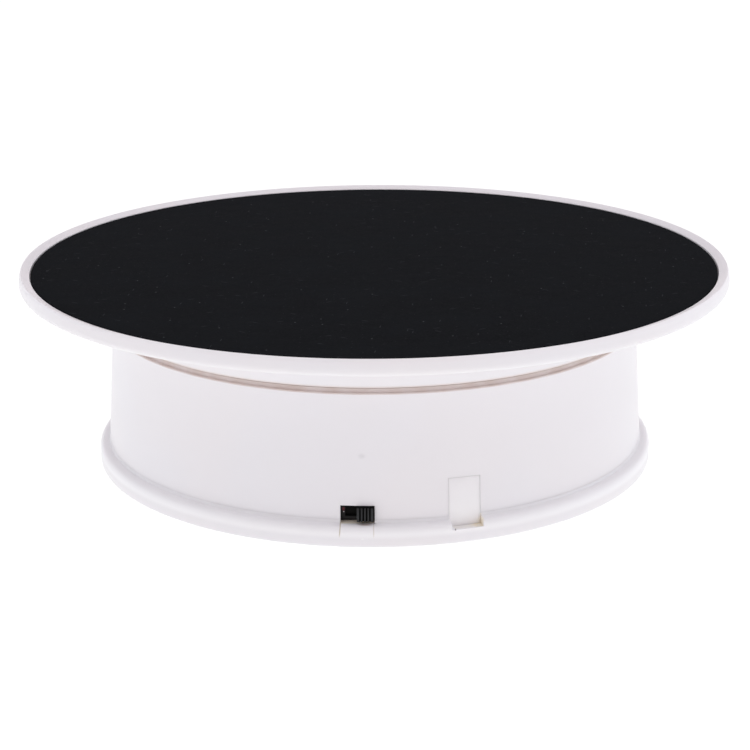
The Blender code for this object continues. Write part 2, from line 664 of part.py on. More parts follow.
def build_worm(brass):
    """Single-start right-hand worm: rows of points follow the thread, and the ends are then trimmed."""
    pitch = pi * WORM_MODULE
    crest_r, root_r = WORM_R + ADDENDUM * WORM_MODULE, WORM_R - DEDENDUM * WORM_MODULE
    half_mid = pitch / 4 - WORM_BACKLASH
    half_crest = half_mid - (crest_r - WORM_R) * tan(PRESSURE_ANGLE)
    half_root = half_mid + (WORM_R - root_r) * tan(PRESSURE_ANGLE)
    section = [(-half_root, root_r), (-half_crest, crest_r), (half_crest, crest_r), (half_root, root_r)]
    around, turns = 16, 8
    per_turn = len(section)
    first = -pitch * (turns // 2 + 0.5)     # a gap, not a thread, faces the wheel's middle tooth

    bm = bmesh.new()
    rows = []
    for i in range(around):
        turn = 2 * pi * i / around
        count = turns * per_turn + (per_turn if i == 0 else 0)
        row = []
        for k in range(count):
            offset, radius = section[k % per_turn]
            along = first + pitch * (k // per_turn) + offset + pitch * i / around
            row.append(bm.verts.new((along, radius * cos(turn), radius * sin(turn))))
        rows.append(row)
    rows.append(rows[0][per_turn:])
    for row, following in zip(rows, rows[1:]):
        for k in range(turns * per_turn - 1):
            bm.faces.new((row[k], row[k + 1], following[k + 1], following[k]))
    last = turns * per_turn - 1
    for end, step in ((0, rows[0][:per_turn + 1]), (last, rows[0][last:last + per_turn + 1])):
        rim = [row[end] for row in rows] + step[-2:0:-1]
        middle = bm.verts.new((sum(v.co.x for v in rim) / len(rim), 0, 0))
        for a, b in zip(rim, rim[1:] + rim[:1]):
            bm.faces.new((a, b, middle))
    worm = add_object("worm", bm, brass, (AXLE_1[0], WORM_Y, WORM_Z))
    blank = bmesh.new()
    add_rod(blank, 5.0, (-WORM_LENGTH / 2, 0, 0), (WORM_LENGTH / 2, 0, 0), sides=12)
    boolean(worm, "INTERSECT", blank)
    bore = bmesh.new()
    add_rod(bore, AXLE_R + GAP, (-20, 0, 0), (20, 0, 0), sides=12)
    cut(worm, bore)


def motor_outline(radius, half_flat):
    """Round outline with a flat above and below, once it lies along X."""
    start = acos(half_flat / radius)
    turns = [start + (pi - 2 * start) * k / 8 for k in range(9)]
    return [(radius * cos(t + side), radius * sin(t + side)) for side in (0, pi) for t in turns]


def build_motor(steel, white, brass):
    axis = (0, WORM_Y, WORM_Z)
    outer = motor_outline(MOTOR_R, MOTOR_HALF_FLAT)
    inner = motor_outline(MOTOR_R - MOTOR_SKIN, MOTOR_HALF_FLAT - MOTOR_SKIN)

    bm = bmesh.new()
    add_prism(bm, outer, *MOTOR_X)
    lie_along_x(bm)
    can = add_object("motor_can", bm, steel, axis)
    hollow = bmesh.new()
    add_prism(hollow, inner, MOTOR_X[0] + MOTOR_SKIN, MOTOR_X[1] + 1)
    lie_along_x(hollow)
    cut(can, hollow)
    nose = bmesh.new()
    add_rod(nose, 3.1, (24.3, 0, 0), (26.5, 0, 0))
    fuse(can, nose)
    bore = bmesh.new()
    add_rod(bore, AXLE_R + GAP, (23, 0, 0), (30, 0, 0), sides=12)
    cut(can, bore)

    bm = bmesh.new()
    add_prism(bm, outer, MOTOR_X[1] + GAP, MOTOR_CAP_END, holes=[circle(AXLE_R + GAP, 12)])
    lie_along_x(bm)
    cap = add_object("motor_end_cap", bm, white, axis)
    tabs = bmesh.new()
    for side in (-5, 5):
        add_box(tabs, (MOTOR_CAP_END - 0.5, side - 1.0, -0.25), (MOTOR_CAP_END + 2.2, side + 1.0, 0.25))
    fuse(cap, tabs)

    bm = bmesh.new()
    add_rod(bm, AXLE_R, (8.5, 0, 0), (52.4, 0, 0), sides=12)
    add_object("motor_shaft", bm, steel, axis)


def build_gearbox_case(grey):
    discs = [(x, y, 4.8) for x, y in PILLARS] + [(12, -37.8, 5), (47, -37.8, 5)]
    bm = bmesh.new()
    add_prism(bm, hull_of_discs(discs), *PLATE_LOW)
    case = add_object("gearbox_case", bm, grey)
    inside = PLATE_LOW[1] - 0.2

    raised = bmesh.new()
    for x, y in PILLARS:
        add_rod(raised, 3.2, (x, y, inside), (x, y, PLATE_HIGH[0] - GAP), sides=12)
    for side in (-1, 1):
        cheek = sorted((WORM_Y + side * (MOTOR_R + GAP), WORM_Y + side * (MOTOR_R + 1.3)))
        add_box(raised, (30, cheek[0], inside), (44, cheek[1], 14.5))
    add_rod(raised, 5.5, (0, 0, inside), (0, 0, 8.5))
    fuse(case, raised)

    holes = bmesh.new()
    add_rod(holes, SHAFT_R + GAP, (0, 0, 2), (0, 0, 10), sides=24)
    for x, y in (AXLE_1, AXLE_2):
        add_rod(holes, AXLE_R + GAP, (x, y, 2), (x, y, 7), sides=12)
    for x, y in PILLARS:
        add_rod(holes, 1.3, (x, y, 17), (x, y, 27), sides=10)
    cut(case, holes)


def build_gearbox_cover(grey):
    discs = [(x, y, 4.8) for x, y in PILLARS] + [(x, y, 5) for x, y in EARS] + [(45, -36, 5)]
    bm = bmesh.new()
    add_prism(bm, hull_of_discs(discs), *PLATE_HIGH)
    cover = add_object("gearbox_cover", bm, grey)

    raised = bmesh.new()
    add_rod(raised, 6.0, (0, 0, PLATE_HIGH[1] - 0.2), (0, 0, 31.5))
    for x in (32, 40):
        add_box(raised, (x - 1, WORM_Y - 7, WORM_Z + MOTOR_HALF_FLAT + GAP),
                (x + 1, WORM_Y + 7, PLATE_HIGH[0] + 0.2))
    fuse(cover, raised)

    holes = bmesh.new()
    add_rod(holes, SHAFT_R + GAP, (0, 0, 25), (0, 0, 33), sides=24)
    for x, y in (AXLE_1, AXLE_2, *PILLARS, *EARS):
        add_rod(holes, AXLE_R + GAP, (x, y, 25), (x, y, 29), sides=12)
    cut(cover, holes)


# ---------------------------------------------------------------- rollers and wires

def build_rollers(grey, steel):
    half = ROLLER_WIDTH / 2
    bore = AXLE_R + GAP
    for i, angle in enumerate(ROLLER_ANGLES, 1):
        outward = Matrix.Rotation(angle, 4, "Z") @ Matrix.Rotation(pi / 2, 4, "Y")
        bm = bmesh.new()
        add_turned(bm, [(bore, -half), (ROLLER_R - 0.4, -half), (ROLLER_R, 0.4 - half),
                        (ROLLER_R, half - 0.4), (ROLLER_R - 0.4, half), (bore, half)], 20, outward)
        place = polar(TRACK_R, angle, ROLLER_Z)
        add_object(f"roller_{i}", bm, grey, place)
        bm = bmesh.new()
        add_rod(bm, AXLE_R, polar(-4.3, angle), polar(4.3, angle), sides=10)
        add_object(f"roller_pin_{i}", bm, steel, place)


def smooth_route(corners, steps):
    """Catmull-Rom curve through every corner point."""
    knots = [Vector(c) for c in corners]
    padded = [2 * knots[0] - knots[1], *knots, 2 * knots[-1] - knots[-2]]
    points = []
    for a, b, c, d in zip(padded, padded[1:], padded[2:], padded[3:]):
        for k in range(steps):
            t = k / steps
            points.append(0.5 * ((2 * b) + (c - a) * t + (2 * a - 5 * b + 4 * c - d) * t ** 2
                                 + (3 * b - a - 3 * c + d) * t ** 3))
    return points + [knots[-1]]


def build_wire(name, colour, corners):
    curve = bpy.data.curves.new(name, "CURVE")
    curve.dimensions = "3D"
    curve.bevel_depth = 0.6 * MM
    curve.bevel_resolution = 2
    curve.use_fill_caps = True
    points = smooth_route(corners, 3)
    spline = curve.splines.new("POLY")
    spline.points.add(len(points) - 1)
    for slot, point in zip(spline.points, points):
        slot.co = (*(point * MM), 1.0)
    curve.materials.append(colour)
    bpy.context.scene.collection.objects.link(bpy.data.objects.new(name, curve))


def build_wires(red, black):
    build_wire("wire_battery_switch", red, [
        (-28.5, 22.8, 15.5), (-32, 22.8, 15.5), (-37, 18, 12), (-39, 0, 8), (-35, -28, 7), (-25, -50, 7.5),
        (-12, -60, 8.8), (-8.4, -63.2, 8.95)])
    build_wire("wire_switch_motor", red, [
        (-0.4, -63.2, 8.95), (3, -57, 8.2), (16, -53, 7.2), (30, -58, 7.5), (43, -56.5, 8), (54, -46, 9.5),
        (58, -38, 12), (57, -36.3, 13.4), (53.8, -36.5, 13.6)])
    build_wire("wire_battery_motor", black, [
        (28.5, 53.2, 15.5), (32, 53.2, 15.5), (34.5, 46, 14), (38, 32, 10), (50, 8, 8), (56, -10, 9),
        (58, -22, 12), (57, -26.5, 13.4), (53.8, -26.5, 13.6)])


# ---------------------------------------------------------------- the whole stand

def main():
    clear_scene()
    white = make_material("white_plastic", (0.86, 0.86, 0.87), 0.38)
    velvet = make_material("black_velvet", (0.014, 0.014, 0.017), 0.95)
    black = make_material("black_plastic", (0.02, 0.02, 0.021), 0.35)
    grey = make_material("grey_plastic", (0.45, 0.46, 0.47), 0.5)
    gear_white = make_material("natural_nylon", (0.80, 0.79, 0.74), 0.4)
    rubber = make_material("grey_rubber", (0.12, 0.12, 0.12), 0.85)
    steel = make_material("steel", (0.60, 0.60, 0.60), 0.3, 1.0)
    brass = make_material("brass", (0.75, 0.58, 0.28), 0.3, 1.0)
    red = make_material("red_insulation", (0.5, 0.03, 0.02), 0.45)
    black_wire = make_material("black_insulation", (0.02, 0.02, 0.02), 0.45)

    build_platter(white)
    build_velvet_pad(velvet)
    build_output_shaft(steel)
    build_output_gear(gear_white)
    build_housing_drum(white)
    build_base_plate(white)
    build_port_blank(white)
    build_feet(rubber)
    build_hub_bush(brass)
    build_switch(black, steel)
    build_switch_knob(black)
    build_battery_door(white)
    build_contacts(steel)
    build_gearbox_case(grey)
    build_gearbox_cover(grey)
    build_compound_gears(gear_white)
    build_gear_axles(steel)
    build_worm(brass)
    build_motor(steel, white, brass)
    build_rollers(grey, steel)
    build_wires(red, black_wire)
    build_screws(steel)


main()
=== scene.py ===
from math import asin, cos, pi, radians, sin, tan

import bmesh
import bpy
from mathutils import Matrix, Vector, noise


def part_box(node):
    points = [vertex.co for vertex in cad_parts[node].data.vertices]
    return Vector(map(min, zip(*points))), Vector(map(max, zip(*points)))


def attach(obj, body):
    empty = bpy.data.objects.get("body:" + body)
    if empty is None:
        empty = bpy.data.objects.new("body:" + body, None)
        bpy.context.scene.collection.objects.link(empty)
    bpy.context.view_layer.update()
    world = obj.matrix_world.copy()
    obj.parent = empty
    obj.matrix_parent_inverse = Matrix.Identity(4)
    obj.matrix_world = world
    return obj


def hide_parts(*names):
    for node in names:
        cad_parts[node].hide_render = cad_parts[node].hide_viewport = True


# Looks of the battery-driven turntable display stand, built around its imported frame. Lengths are in
# millimetres and MM turns them into metres; the origin is under the platter's axis, and the slide
# switch faces -Y.

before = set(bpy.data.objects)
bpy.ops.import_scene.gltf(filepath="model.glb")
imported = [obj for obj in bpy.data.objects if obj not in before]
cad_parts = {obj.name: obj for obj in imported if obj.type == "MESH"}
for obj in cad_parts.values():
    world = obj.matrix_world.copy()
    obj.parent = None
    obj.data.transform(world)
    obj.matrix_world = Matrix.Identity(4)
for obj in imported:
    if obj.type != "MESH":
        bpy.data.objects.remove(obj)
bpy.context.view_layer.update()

MM = 0.001


def low(node):
    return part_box(node)[0] / MM


def high(node):
    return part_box(node)[1] / MM


def middle(node):
    return (low(node) + high(node)) / 2


# Platter and its pad
RIM_R = high("platter").x
RIM_TOP = high("platter").z
RING_FOOT = low("platter").z
PAD_R = high("velvet_pad").x
PAD_TOP = high("velvet_pad").z
DISC_TOP = low("velvet_pad").z - 0.3
DISC_UNDERSIDE = DISC_TOP - 2.4
WELL_R = PAD_R + 0.3
RIM_CREST_R = 99.35
PAD_RINGS = 118
PAD_SIDES = 360
RING_R = 74.2
RING_WALL = 2.2
TRACK_R = 60.0
TRACK_FOOT = RING_FOOT + 0.6
TRACK_WALL = 2.4
HUB_R = 6.5
HUB_FOOT = 46.0
SCREW_SHOULDER = 53.4
SHAFT_R = 3.0

# Housing drum
LIP_TOP = high("housing_drum").z
LIP_R = 73.7
DECK_TOP = LIP_TOP - 1.0
DECK_UNDERSIDE = DECK_TOP - 2.4
DRUM_FOOT = 6.9
DRUM_SEAM = 7.4         # the base's edge turns up to here, flush with the drum wall
SEAM = 0.03             # how far the finished pieces stand apart where they rest on each other
DRUM_TOP_R = 74.65
DRUM_FOOT_R = 76.8
DRUM_WALL = 2.2
BUSH_R = 5.0
BUSH_BOSS_R = BUSH_R + 3.5
POST_R = 63.0               # circle that the posts stand on
POST_RADIUS = 4.0
POST_PILOT = 1.6
EAR_RADIUS = 3.5
EAR_PILOT = 1.3
POST_ANGLES = [radians(a) for a in (50, 130, 230, 310)]
ROLLER_ANGLES = [0, pi / 2, pi, 3 * pi / 2]
PIN_BORE_R, PIN_HALF_LENGTH = 1.3, 4.8
ROLLER_Z = middle("roller_1").z
EARS = [(-31, -4), (41, -7), (-6, -40)]

# Base plate
FLANGE_R = high("base_plate").x
FLANGE_TOP = DRUM_FOOT - 0.3
FLANGE_ROUND = 2.8
FLANGE_INNER_R = 73.0
GROOVE_IN_R, GROOVE_OUT_R, GROOVE_TOP = 74.6, 77.2, 4.0
BASE_UNDERSIDE = low("base_plate").z
BASE_FLOOR = BASE_UNDERSIDE + 2.4
FOOT_POCKET_R = 5.3
HEAD_POCKET_R = 3.4
BAY_X = 28.5
BAY_Y = (15.0, 61.0)
BAY_TOP = high("base_plate").z - 1.6
DOOR_LOW, DOOR_HIGH = low("battery_door"), high("battery_door")

# Slide switch and the port's blank
SWITCH_X = middle("switch_body").x
SLOT_WIDTH = 8.8
SLOT_TOP = 11.25
SWITCH_RECESS_DEPTH = 1.4
PORT_ANGLE = radians(17.43)
PORT_WIDTH = 8.6
PORT_TOP = 17.6
PORT_CHANNEL_Z = 4.7
SWITCH_FACE_Y = -74.6
KNOB_BACK_Y = -74.9
KNOB_GROOVE_WIDTH, KNOB_GROOVE_DEPTH = 0.46, 0.60

# Small marks: centre and half sizes. The first two are painted highlights below the switch.
PAINTED_GLINTS = (((-4.1, -79.4, 4.9), (0.75, 0.8, 0.20)), ((-3.3, -79.6, 3.4), (0.55, 0.6, 0.18)))
SPECK = ((20.50, -76.50, 4.7), (0.28, 0.75, 0.4))
BLEMISH = ((-3.4, -75.6, 24.4), (1.3, 1.0, 1.0))

SIDES = 240


# ---------------------------------------------------------------- meshes

def soften(corners, steps=4):
    """Round each (x, y, radius) corner of an outline. Neighbours share an edge by their radii."""
    points = []
    for i, (x, y, radius) in enumerate(corners):
        here = Vector((x, y))
        if radius == 0:
            points.append(here)
            continue
        before, after = corners[i - 1], corners[(i + 1) % len(corners)]
        back, onward = Vector(before[:2]) - here, Vector(after[:2]) - here
        reach = min(radius / tan(back.angle(onward) / 2),
                    0.98 * back.length * radius / (radius + before[2]),
                    0.98 * onward.length * radius / (radius + after[2]))
        start, end = here + back.normalized() * reach, here + onward.normalized() * reach
        for k in range(steps + 1):
            t = k / steps
            points.append(start.lerp(here, t).lerp(here.lerp(end, t), t))
    return points


def smooth_curve(knots, steps):
    """Catmull-Rom curve through every knot."""
    knots = [Vector(k) for k in knots]
    padded = [2 * knots[0] - knots[1], *knots, 2 * knots[-1] - knots[-2]]
    points = []
    for a, b, c, d in zip(padded, padded[1:], padded[2:], padded[3:]):
        for k in range(steps):
            t = k / steps
            points.append(0.5 * (2 * b + (c - a) * t + (2 * a - 5 * b + 4 * c - d) * t ** 2
                                 + (3 * b - a - 3 * c + d) * t ** 3))
    return points + [knots[-1]]


def add_turned(bm, outline, sides=SIDES, matrix=Matrix()):
    """Solid of revolution about Z. An outline that starts on the axis ends there, any other closes."""
    rows = []
    for radius, height in outline:
        if radius == 0:
            rows.append([bm.verts.new(matrix @ Vector((0, 0, height)))] * sides)
            continue
        ring = []
        for i in range(sides):
            turn = 2 * pi * i / sides
            ring.append(bm.verts.new(matrix @ Vector((radius * cos(turn), radius * sin(turn), height))))
        rows.append(ring)
    following = rows[1:] if outline[0][0] == 0 else rows[1:] + rows[:1]
    for first, second in zip(rows, following):
        for i in range(sides):
            j = (i + 1) % sides
            bm.faces.new(list(dict.fromkeys((first[i], first[j], second[j], second[i]))))


def add_box(bm, start, end, turn=0.0):
    size = [b - a for a, b in zip(start, end)]
    centre = [(a + b) / 2 for a, b in zip(start, end)]
    matrix = Matrix.Rotation(turn, 4, "Z") @ Matrix.Translation(centre) @ Matrix.Diagonal((*size, 1))
    bmesh.ops.create_cube(bm, size=1.0, matrix=matrix)


def add_rod(bm, radius, start, end, sides=48):
    start, end = Vector(start), Vector(end)
    along = (end - start).to_track_quat("Z", "Y").to_matrix().to_4x4()
    bmesh.ops.create_cone(bm, cap_ends=True, segments=sides, radius1=radius, radius2=radius,
                          depth=(end - start).length, matrix=Matrix.Translation((start + end) / 2) @ along)


def add_prism(bm, outline, low_z, high_z):
    verts = [bm.verts.new((x, y, low_z)) for x, y in outline]
    face = bm.faces.new(verts)
    raised = bmesh.ops.extrude_face_region(bm, geom=[face])["geom"]
    lifted = [item for item in raised if isinstance(item, bmesh.types.BMVert)]
    bmesh.ops.translate(bm, vec=(0, 0, high_z - low_z), verts=lifted)


def polar(radius, angle, height=0.0):
    return Vector((radius * cos(angle), radius * sin(angle), height))


def mesh_object(name, bm):
    bmesh.ops.scale(bm, vec=(MM, MM, MM), verts=bm.verts)
    bmesh.ops.recalc_face_normals(bm, faces=bm.faces)
    mesh = bpy.data.meshes.new(name)
    bm.to_mesh(mesh)
    bm.free()
    obj = bpy.data.objects.new(name, mesh)
    bpy.context.scene.collection.objects.link(obj)
    return obj


def make_piece(name, bm, material, body, nodes, unions=(), cuts=(), bevel=0.0):
    """Finish a piece: fuse and cut its shapes, round its edges, and tie it to its body."""
    obj = mesh_object(name, bm)
    tools = []
    for operation, shapes in (("UNION", unions), ("DIFFERENCE", cuts)):
        for shape in shapes:
            tool = mesh_object(f"{name}_tool_{len(tools)}", shape)
            tools.append(tool)
            modifier = obj.modifiers.new("shape", "BOOLEAN")
            modifier.operation, modifier.solver, modifier.object = operation, "EXACT", tool
    if bevel:
        modifier = obj.modifiers.new("edges", "BEVEL")
        modifier.width, modifier.segments = bevel * MM, 2
        modifier.limit_method, modifier.angle_limit = "ANGLE", radians(40)
    if obj.modifiers:
        evaluated = obj.evaluated_get(bpy.context.evaluated_depsgraph_get())
        finished = bpy.data.meshes.new_from_object(evaluated)
        obj.modifiers.clear()
        obj.data = finished
    for tool in tools:
        bpy.data.objects.remove(tool, do_unlink=True)
    obj.data.materials.clear()
    obj.data.materials.append(material)
    obj.data.shade_smooth()
    obj.data.set_sharp_from_angle(angle=radians(32))
    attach(obj, body)
    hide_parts(*nodes)
    return obj


# ---------------------------------------------------------------- materials

class Finish:
    """A material's node tree, with short ways to add the nodes that the finishes share."""

    def __init__(self, name, **values):
        self.material = bpy.data.materials.new(name)
        self.material.use_nodes = True
        self.tree = self.material.node_tree
        self.shader = self.tree.nodes["Principled BSDF"]
        for key, value in values.items():
            self.shader.inputs[key.replace("_", " ")].default_value = value
        self.place = self.add("ShaderNodeTexCoord").outputs["Object"]

    def add(self, kind, inputs=None, **settings):
        made = self.tree.nodes.new(kind)
        for key, value in settings.items():
            setattr(made, key, value)
        for key, value in (inputs or {}).items():
            if isinstance(value, bpy.types.NodeSocket):
                self.tree.links.new(value, made.inputs[key])
            else:
                made.inputs[key].default_value = value
        return made

    def connect(self, key, value):
        self.tree.links.new(value, self.shader.inputs[key])

    def math(self, operation, a, b=0.0):
        return self.add("ShaderNodeMath", {0: a, 1: b}, operation=operation).outputs[0]

    def span(self, value, start, end, low_value=0.0, high_value=1.0):
        """Smoothly from low_value at start to high_value at end."""
        return self.add("ShaderNodeMapRange", {"Value": value, "From Min": start, "From Max": end,
                                               "To Min": low_value, "To Max": high_value},
                        interpolation_type="SMOOTHSTEP").outputs["Result"]

    def noise(self, size, detail=2.0, stretch=(1, 1, 1)):
        """Noise whose blotches are about size millimetres across."""
        place = self.add("ShaderNodeVectorMath", {0: self.place, 1: stretch},
                         operation="MULTIPLY").outputs[0]
        return self.add("ShaderNodeTexNoise", {"Vector": place, "Scale": 1 / (size * MM),
                                               "Detail": detail}).outputs["Fac"]

    def mix(self, factor, a, b):
        made = self.add("ShaderNodeMix", data_type="RGBA")
        for socket, value in zip((made.inputs[0], made.inputs[6], made.inputs[7]), (factor, a, b)):
            if isinstance(value, bpy.types.NodeSocket):
                self.tree.links.new(value, socket)
            else:
                socket.default_value = (*value, 1.0) if isinstance(value, tuple) else value
        return made.outputs[2]

    def patch(self, centre, size, edge=0.5):
        """1 inside an ellipsoid about centre, in millimetres, fading out from edge of its radius."""
        offset = self.add("ShaderNodeVectorMath", {0: self.place, 1: Vector(centre) * MM},
                          operation="SUBTRACT").outputs[0]
        shrink = [1 / (s * MM) for s in size]
        scaled = self.add("ShaderNodeVectorMath", {0: offset, 1: shrink}, operation="MULTIPLY").outputs[0]
        length = self.add("ShaderNodeVectorMath", {0: scaled}, operation="LENGTH").outputs["Value"]
        return self.span(length, 1.0, edge)

    def bump(self, layers):
        """Chain of (height, distance in millimetres) layers."""
        normal = None
        for height, distance in layers:
            inputs = {"Height": height, "Strength": 1.0, "Distance": distance * MM}
            if normal:
                inputs["Normal"] = normal
            normal = self.add("ShaderNodeBump", inputs).outputs["Normal"]
        self.connect("Normal", normal)


WHITE_WARM = (0.878, 0.858, 0.874)
WHITE_COOL = (0.870, 0.858, 0.882)
STAIN = (0.90, 0.78, 0.54)
SHADOW_TAN = (0.62, 0.46, 0.36)


def white_plastic(name, marks=()):
    """Moulded white plastic. Marks are (mask, colour, strength) made from the finish itself."""
    finish = Finish(name, Specular_IOR_Level=0.5, Subsurface_Weight=0.4, Subsurface_Scale=1.2 * MM)
    finish.shader.inputs["Subsurface Radius"].default_value = (1.0, 1.0, 1.0)
    broad = finish.noise(38, 1.0)
    fine = finish.noise(9, 1.0)
    colour = finish.mix(finish.span(broad, 0.36, 0.64), WHITE_COOL, WHITE_WARM)
    colour = finish.mix(finish.span(fine, 0.2, 0.8, 0.0, 0.10), colour, (0.84, 0.83, 0.84))
    for mask, tint, strength in marks:
        area = mask(finish)
        colour = finish.mix(finish.math("MULTIPLY", area, strength), colour, tint)
    finish.connect("Base Color", colour)
    finish.connect("Roughness", finish.span(finish.noise(9, 1.0), 0.2, 0.8, 0.28, 0.35))
    finish.bump([(finish.noise(14, 1.0), 0.010)])
    return finish.material


def between(finish, value, start, end, soft):
    """1 where a value lies between two limits, with soft edges."""
    rise = finish.span(value, start - soft, start + soft)
    fall = finish.span(value, end - soft, end + soft, 1.0, 0.0)
    return finish.math("MULTIPLY", rise, fall)


def axis_value(finish, axis, turn=0.0):
    """One coordinate in millimetres, after turning the piece by turn about Z."""
    place = finish.place
    if turn:
        place = finish.add("ShaderNodeVectorRotate", {"Vector": place, "Angle": turn},
                           rotation_type="Z_AXIS").outputs[0]
    split = finish.add("ShaderNodeSeparateXYZ", {0: place})
    return finish.math("MULTIPLY", split.outputs[axis], 1 / MM)


def deck_painted_shade(finish):
    """Painted warm shade on the drum's top surface, seen only in the narrow gap under the platter."""
    height = axis_value(finish, 2)
    mottle = finish.span(finish.noise(6, 2.0), 0.3, 0.7, 0.75, 1.0)
    return finish.math("MULTIPLY", finish.span(height, DECK_TOP - 0.5, DECK_TOP - 0.1), mottle)


def ring_foot_painted_shade(finish):
    """Painted warm shade on the lower edge of the platter's ring."""
    height = axis_value(finish, 2)
    return finish.span(height, RING_FOOT + 0.7, RING_FOOT + 0.1)


def port_stain(finish):
    """Yellowish stain in the channel at the port's foot, strongest at its right-hand corner."""
    x = axis_value(finish, 0, -PORT_ANGLE)
    y = axis_value(finish, 1, -PORT_ANGLE)
    z = axis_value(finish, 2)
    along = between(finish, x, -3.4, 4.5, 0.5)
    out = between(finish, y, -79.0, -76.0, 0.4)
    above = finish.span(z, 4.2, 4.6)
    corner = finish.span(x, 0.5, 4.0, 0.35, 1.0)
    flat = finish.math("MULTIPLY", along, out)
    area = finish.math("MULTIPLY", flat, finish.math("MULTIPLY", above, corner))
    return finish.math("MULTIPLY", area, finish.span(finish.noise(1.1, 2.0), 0.3, 0.6, 0.55, 1.0))


def port_corner_stain(finish):
    """The same stain where it creeps up beside the port's lower right-hand corner."""
    bearing = PORT_ANGLE - pi / 2 + asin((PORT_WIDTH / 2 + 0.2) / DRUM_FOOT_R)
    corner = polar(DRUM_FOOT_R, bearing, FLANGE_TOP - 1.2)
    return finish.patch(corner, (1.4, 1.4, 1.6), 0.1)


def mould_lines(finish):
    """Two brownish lines down the flange from the slot's lower corners, the left one leaning outwards."""
    x = axis_value(finish, 0)
    y = axis_value(finish, 1)
    z = axis_value(finish, 2)
    fall = finish.math("SUBTRACT", FLANGE_TOP, z)
    leaning = finish.math("ADD", x, finish.math("MULTIPLY", fall, 0.09))
    left_x, right_x = SWITCH_X - SLOT_WIDTH / 2, SWITCH_X + SLOT_WIDTH / 2
    left = between(finish, leaning, left_x - 0.13, left_x + 0.13, 0.07)
    right = finish.math("MULTIPLY", between(finish, x, right_x - 0.38, right_x - 0.18, 0.07), 0.6)
    reach = finish.math("MULTIPLY", finish.span(z, 3.3, 4.9), finish.span(y, -75.6, -76.2))
    return finish.math("MULTIPLY", finish.math("MAXIMUM", left, right), reach)


def slot_floor_painted_shade(finish):
    """Painted tan shade on the flange inside the slot."""
    x = axis_value(finish, 0)
    y = axis_value(finish, 1)
    z = axis_value(finish, 2)
    inside = between(finish, x, SWITCH_X - 4.3, SWITCH_X + 4.3, 0.2)
    inside = finish.math("MULTIPLY", inside, between(finish, y, -76.8, -72.5, 0.2))
    return finish.math("MULTIPLY", inside, finish.span(z, FLANGE_TOP - 0.9, FLANGE_TOP - 0.5))


def knob_painted_shadow(finish):
    """Painted brownish contact shadow on the flange under the knob."""
    knob = middle("switch_knob")
    return finish.patch((knob.x, -77.6, FLANGE_TOP), (2.6, 1.0, 0.8), 0.2)


def painted_glints(finish):
    """Two small painted highlights on the flange's face below the switch."""
    first, second = [finish.patch(centre, half_size, 0.5) for centre, half_size in PAINTED_GLINTS]
    return finish.math("MAXIMUM", first, second)


def seam_and_channel_painted_light(finish):
    """Painted light: a paler band where the base's edge turns up into the drum, and in the port's channel,
    lifting the shade there.
    """
    height = axis_value(finish, 2)
    band = between(finish, height, FLANGE_TOP - 2.8, DRUM_SEAM + 0.6, 0.8)
    x = axis_value(finish, 0, -PORT_ANGLE)
    channel = between(finish, x, -PORT_WIDTH / 2 - 0.3, PORT_WIDTH / 2 + 0.3, 0.1)
    out = between(finish, axis_value(finish, 1, -PORT_ANGLE), -79, -72, 0.3)
    channel = finish.math("MULTIPLY", channel, out)
    return finish.math("MAXIMUM", band, channel)


def plug_painted_light(finish):
    """Painted light: paler white on the port's blank, palest near its foot, which comes out too dark
    otherwise.
    """
    return finish.span(axis_value(finish, 2), 6.5, 13.0, 1.0, 0.5)


def speck(finish):
    """Small dark speck beside the port's foot."""
    return finish.patch(*SPECK, 0.4)


def wall_blemish(finish):
    """Faint grey mark on the drum's wall above the switch."""
    return finish.patch(*BLEMISH, 0.1)


